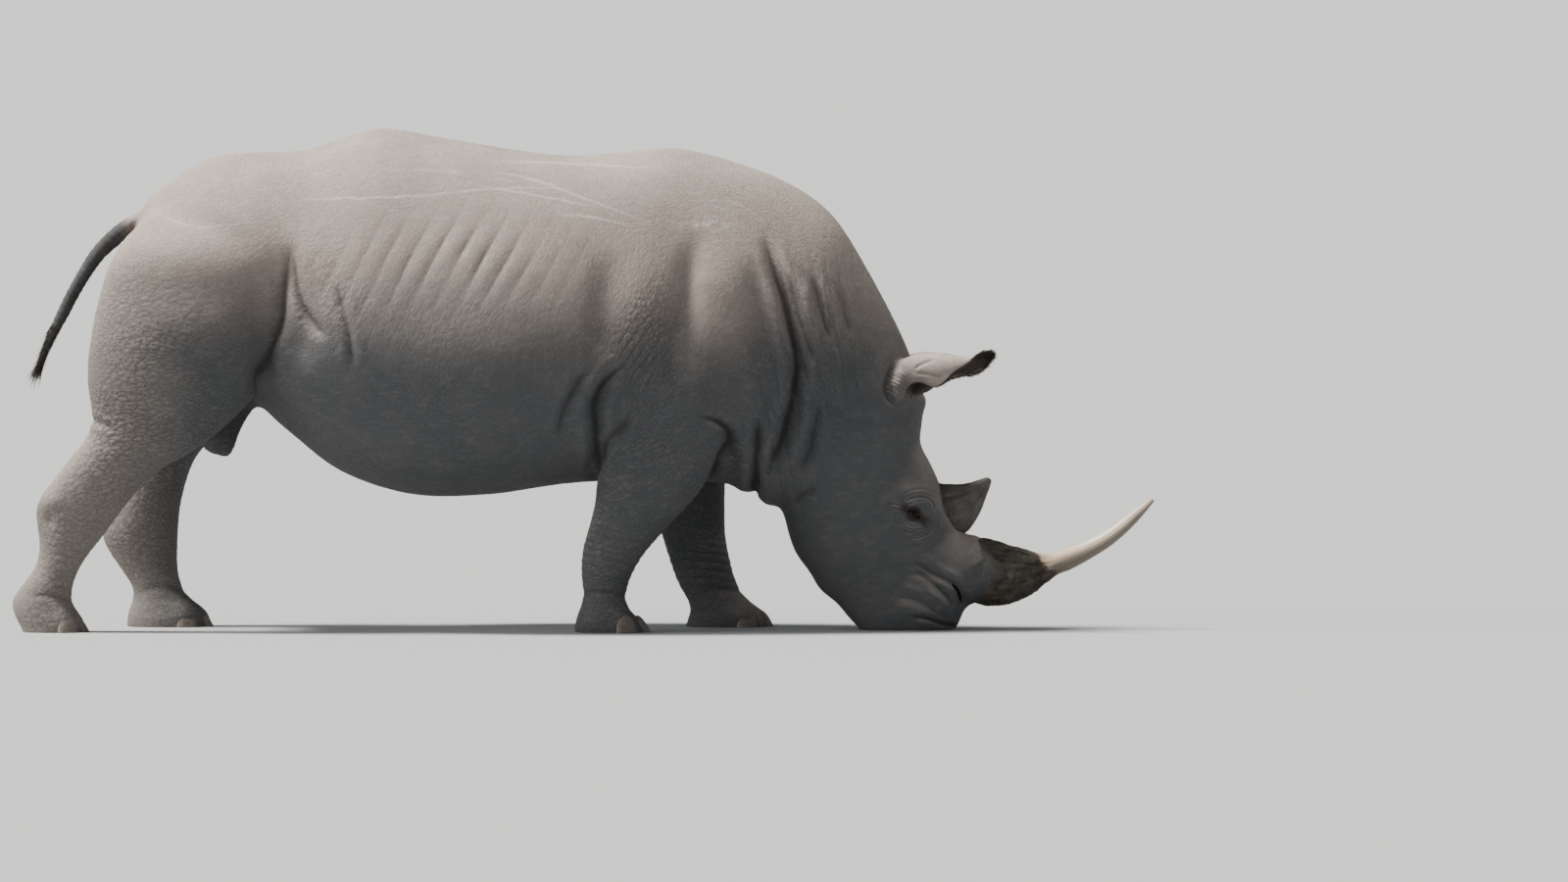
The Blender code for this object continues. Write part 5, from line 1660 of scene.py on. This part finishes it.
def eye_material():
    s = Shader("eye", Roughness=0.08, Specular_IOR_Level=0.10)
    angle = s.number("from_middle")
    place = s.place()
    streaks = s.noise(place, 380.0, 3)
    iris = s.blend(s.ramp(streaks, 0.3, 0.7), (0.007, 0.004, 0.003), (0.018, 0.011, 0.006))
    colour = s.blend(s.ramp(angle, 0.30, 0.36), (0.002, 0.002, 0.002), iris)
    colour = s.blend(s.ramp(angle, 0.72, 0.80), colour, (0.012, 0.008, 0.006))
    white = s.blend(s.ramp(s.noise(place, 150.0, 3), 0.4, 0.7), (0.045, 0.028, 0.022), (0.025, 0.015, 0.012))
    colour = s.blend(s.ramp(angle, 0.95, 1.10), colour, white)
    s.connect("Base Color", colour)
    return s.material


def nail_material():
    s = Shader("nail", Roughness=0.6, Specular_IOR_Level=0.35)
    places = s.vector("places")
    grooves = s.noise(s.stretched(places, (0.6, 4.0, 0.5)), 9.0, 5, 0.6)
    rings = s.noise(s.stretched(places, (0.3, 0.3, 3.0)), 4.0, 4, 0.6)
    dirt = s.noise(s.place(), 55.0, 4, 0.65)
    low = s.height_of(places)
    colour = s.blend(s.ramp(grooves, 0.35, 0.65), (0.060, 0.050, 0.042), (0.150, 0.128, 0.110))
    colour = s.blend(s.ramp(rings, 0.45, 0.65, 0.0, 0.5), colour, (0.20, 0.175, 0.15))
    colour = s.blend(s.ramp(dirt, 0.45, 0.65, 0.0, 0.7), colour, (0.20, 0.165, 0.135))
    colour = s.blend(s.ramp(low, 0.20, 0.60, 0.0, 0.6), colour, (0.17, 0.145, 0.127))
    s.connect("Base Color", colour)
    s.connect("Roughness", s.ramp(dirt, 0.3, 0.7, 0.50, 0.75))
    normal = s.bump(grooves, 0.5, 0.0015)
    s.connect("Normal", s.bump(dirt, 0.3, 0.0010, normal))
    return s.material


def hair_material():
    s = Shader("hair", Roughness=0.55, Specular_IOR_Level=0.35)
    along = s.number("row")
    streak = s.noise(s.place(), 240.0, 3)
    colour = s.blend(s.ramp(streak, 0.35, 0.65), (0.010, 0.008, 0.007), (0.035, 0.026, 0.020))
    s.connect("Base Color", s.blend(s.ramp(along, 0.3, 1.0, 0.0, 0.55), colour, (0.060, 0.042, 0.030)))
    return s.material


def floor_material():
    s = Shader("floor", Roughness=0.9, Specular_IOR_Level=0.2)
    cloud = s.noise(s.place(), 0.6, 3)
    s.connect("Base Color", s.blend(s.ramp(cloud, 0.3, 0.7), (0.379, 0.386, 0.391), (0.382, 0.389, 0.394)))
    s.connect("Normal", s.bump(s.noise(s.place(), 300.0, 2), 0.05, 0.0005))
    return s.material


# ---------------------------------------------------------------- floor, light and camera


FLOOR_REACH = 400.0  # past the camera, and far enough for its edge not to show


def add_floor(material):
    bm = bmesh.new()
    bmesh.ops.create_grid(bm, x_segments=2, y_segments=2, size=FLOOR_REACH)
    floor = new_object("floor", bm)
    floor.data.materials.append(material)


def add_sun(name, direction, strength, softness, colour):
    """Even light over animal and floor, from far away in that direction."""
    light = bpy.data.lights.new(name, "SUN")
    light.energy = strength
    light.angle = math.radians(softness)
    light.color = colour
    lamp = add_object(name, light)
    lamp.rotation_euler = Vector(direction).to_track_quat("Z", "Y").to_euler()


def add_lights():
    add_sun("key", (-0.50, 0.02, 0.865), 9.2, 14, (1.0, 0.965, 0.925))
    add_sun("side", (-0.92, -0.24, 0.31), 1.9, 30, (1.0, 0.965, 0.925))
    add_sun("fill", (0.45, -0.80, 0.40), 0.10, 60, (0.84, 0.93, 1.0))
    world = bpy.data.worlds.new("studio")
    bpy.context.scene.world = world
    world.use_nodes = True
    nodes, links = world.node_tree.nodes, world.node_tree.links
    # pale like the floor where they meet, dimmer above
    direction = nodes.new("ShaderNodeTexCoord").outputs["Generated"]
    split = nodes.new("ShaderNodeSeparateXYZ")
    links.new(direction, split.inputs[0])
    fall = nodes.new("ShaderNodeMapRange")
    links.new(split.outputs["Z"], fall.inputs["Value"])
    for socket, value in (("From Min", 0.05), ("From Max", 0.22), ("To Min", 1.36), ("To Max", 0.30)):
        fall.inputs[socket].default_value = value
    background = nodes["Background"]
    background.inputs["Color"].default_value = (0.93, 0.95, 0.97, 1)
    links.new(fall.outputs["Result"], background.inputs["Strength"])


CAMERA_AIM = Vector((0.7398, 0, 0.6912))  # what the middle of the picture shows
CAMERA_DISTANCE = 120.0  # far off, as with a long lens
CAMERA_ELEVATION = math.radians(2)
PICTURE_WIDTH = 5.76  # metres across the picture at the animal
SENSOR_WIDTH = 36.0
CLIP_END = 1000.0


def add_camera():
    camera = bpy.data.cameras.new("camera")
    camera.sensor_width = SENSOR_WIDTH
    camera.lens = SENSOR_WIDTH * CAMERA_DISTANCE / PICTURE_WIDTH
    camera.clip_end = CLIP_END
    obj = add_object("camera", camera)
    away = Vector((0, -math.cos(CAMERA_ELEVATION), math.sin(CAMERA_ELEVATION)))
    aim = CAMERA_AIM + SHIFT
    obj.location = aim + away * CAMERA_DISTANCE
    obj.rotation_euler = (-away).to_track_quat("-Z", "Y").to_euler()
    bpy.context.scene.camera = obj


# ---------------------------------------------------------------- assembly


def middle_of(node):
    low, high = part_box(node)
    return (low + high) / 2


def finish_piece(piece, slot, *nodes):
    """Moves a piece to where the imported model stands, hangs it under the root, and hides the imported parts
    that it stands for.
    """
    piece.data.transform(Matrix.Translation(SHIFT))
    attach(piece, "root")
    if nodes:
        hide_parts(*nodes)


def main():
    hide, horn, eye = hide_material(), horn_material(), eye_material()
    nail, hair = nail_material(), hair_material()
    eyes = {side: np.array(middle_of(f"eye_{name}") - SHIFT) for side, name in SIDE_NAMES.items()}

    skin = make_skin()
    dress_skin(skin.data, eyes.values())
    skin.data.materials.append(hide)
    for side, name in SIDE_NAMES.items():
        finish_piece(make_ear_hair(f"{name}_ear_hair", side, skin, hair), "hair")
    finish_piece(
        skin, "hide", "trunk", "neck", "head", "tail", "ear_right", "ear_left",
        "foreleg_right", "foreleg_left", "hindleg_right", "hindleg_left",
    )
    finish_piece(make_horn_front(horn), "horn", "horn_front")
    finish_piece(make_horn_rear(rear_horn_material()), "horn", "horn_rear")
    for side, name in SIDE_NAMES.items():
        gaze = unit((0.28, side, -0.12))
        finish_piece(make_eye(f"{name}_eye", eyes[side], gaze, eye), "eye", f"eye_{name}")
    finish_piece(make_tail_tuft(hair), "hair", "tail_tuft")
    for leg_name, stations in LEGS.items():
        for toenail, (label, _, _) in zip(make_toenails(leg_name, stations, nail), TOES):
            finish_piece(toenail, "nail", f"toenail_{leg_name}_{label}")

    add_floor(floor_material())
    add_lights()
    add_camera()


main()
bpy.context.view_layer.update()
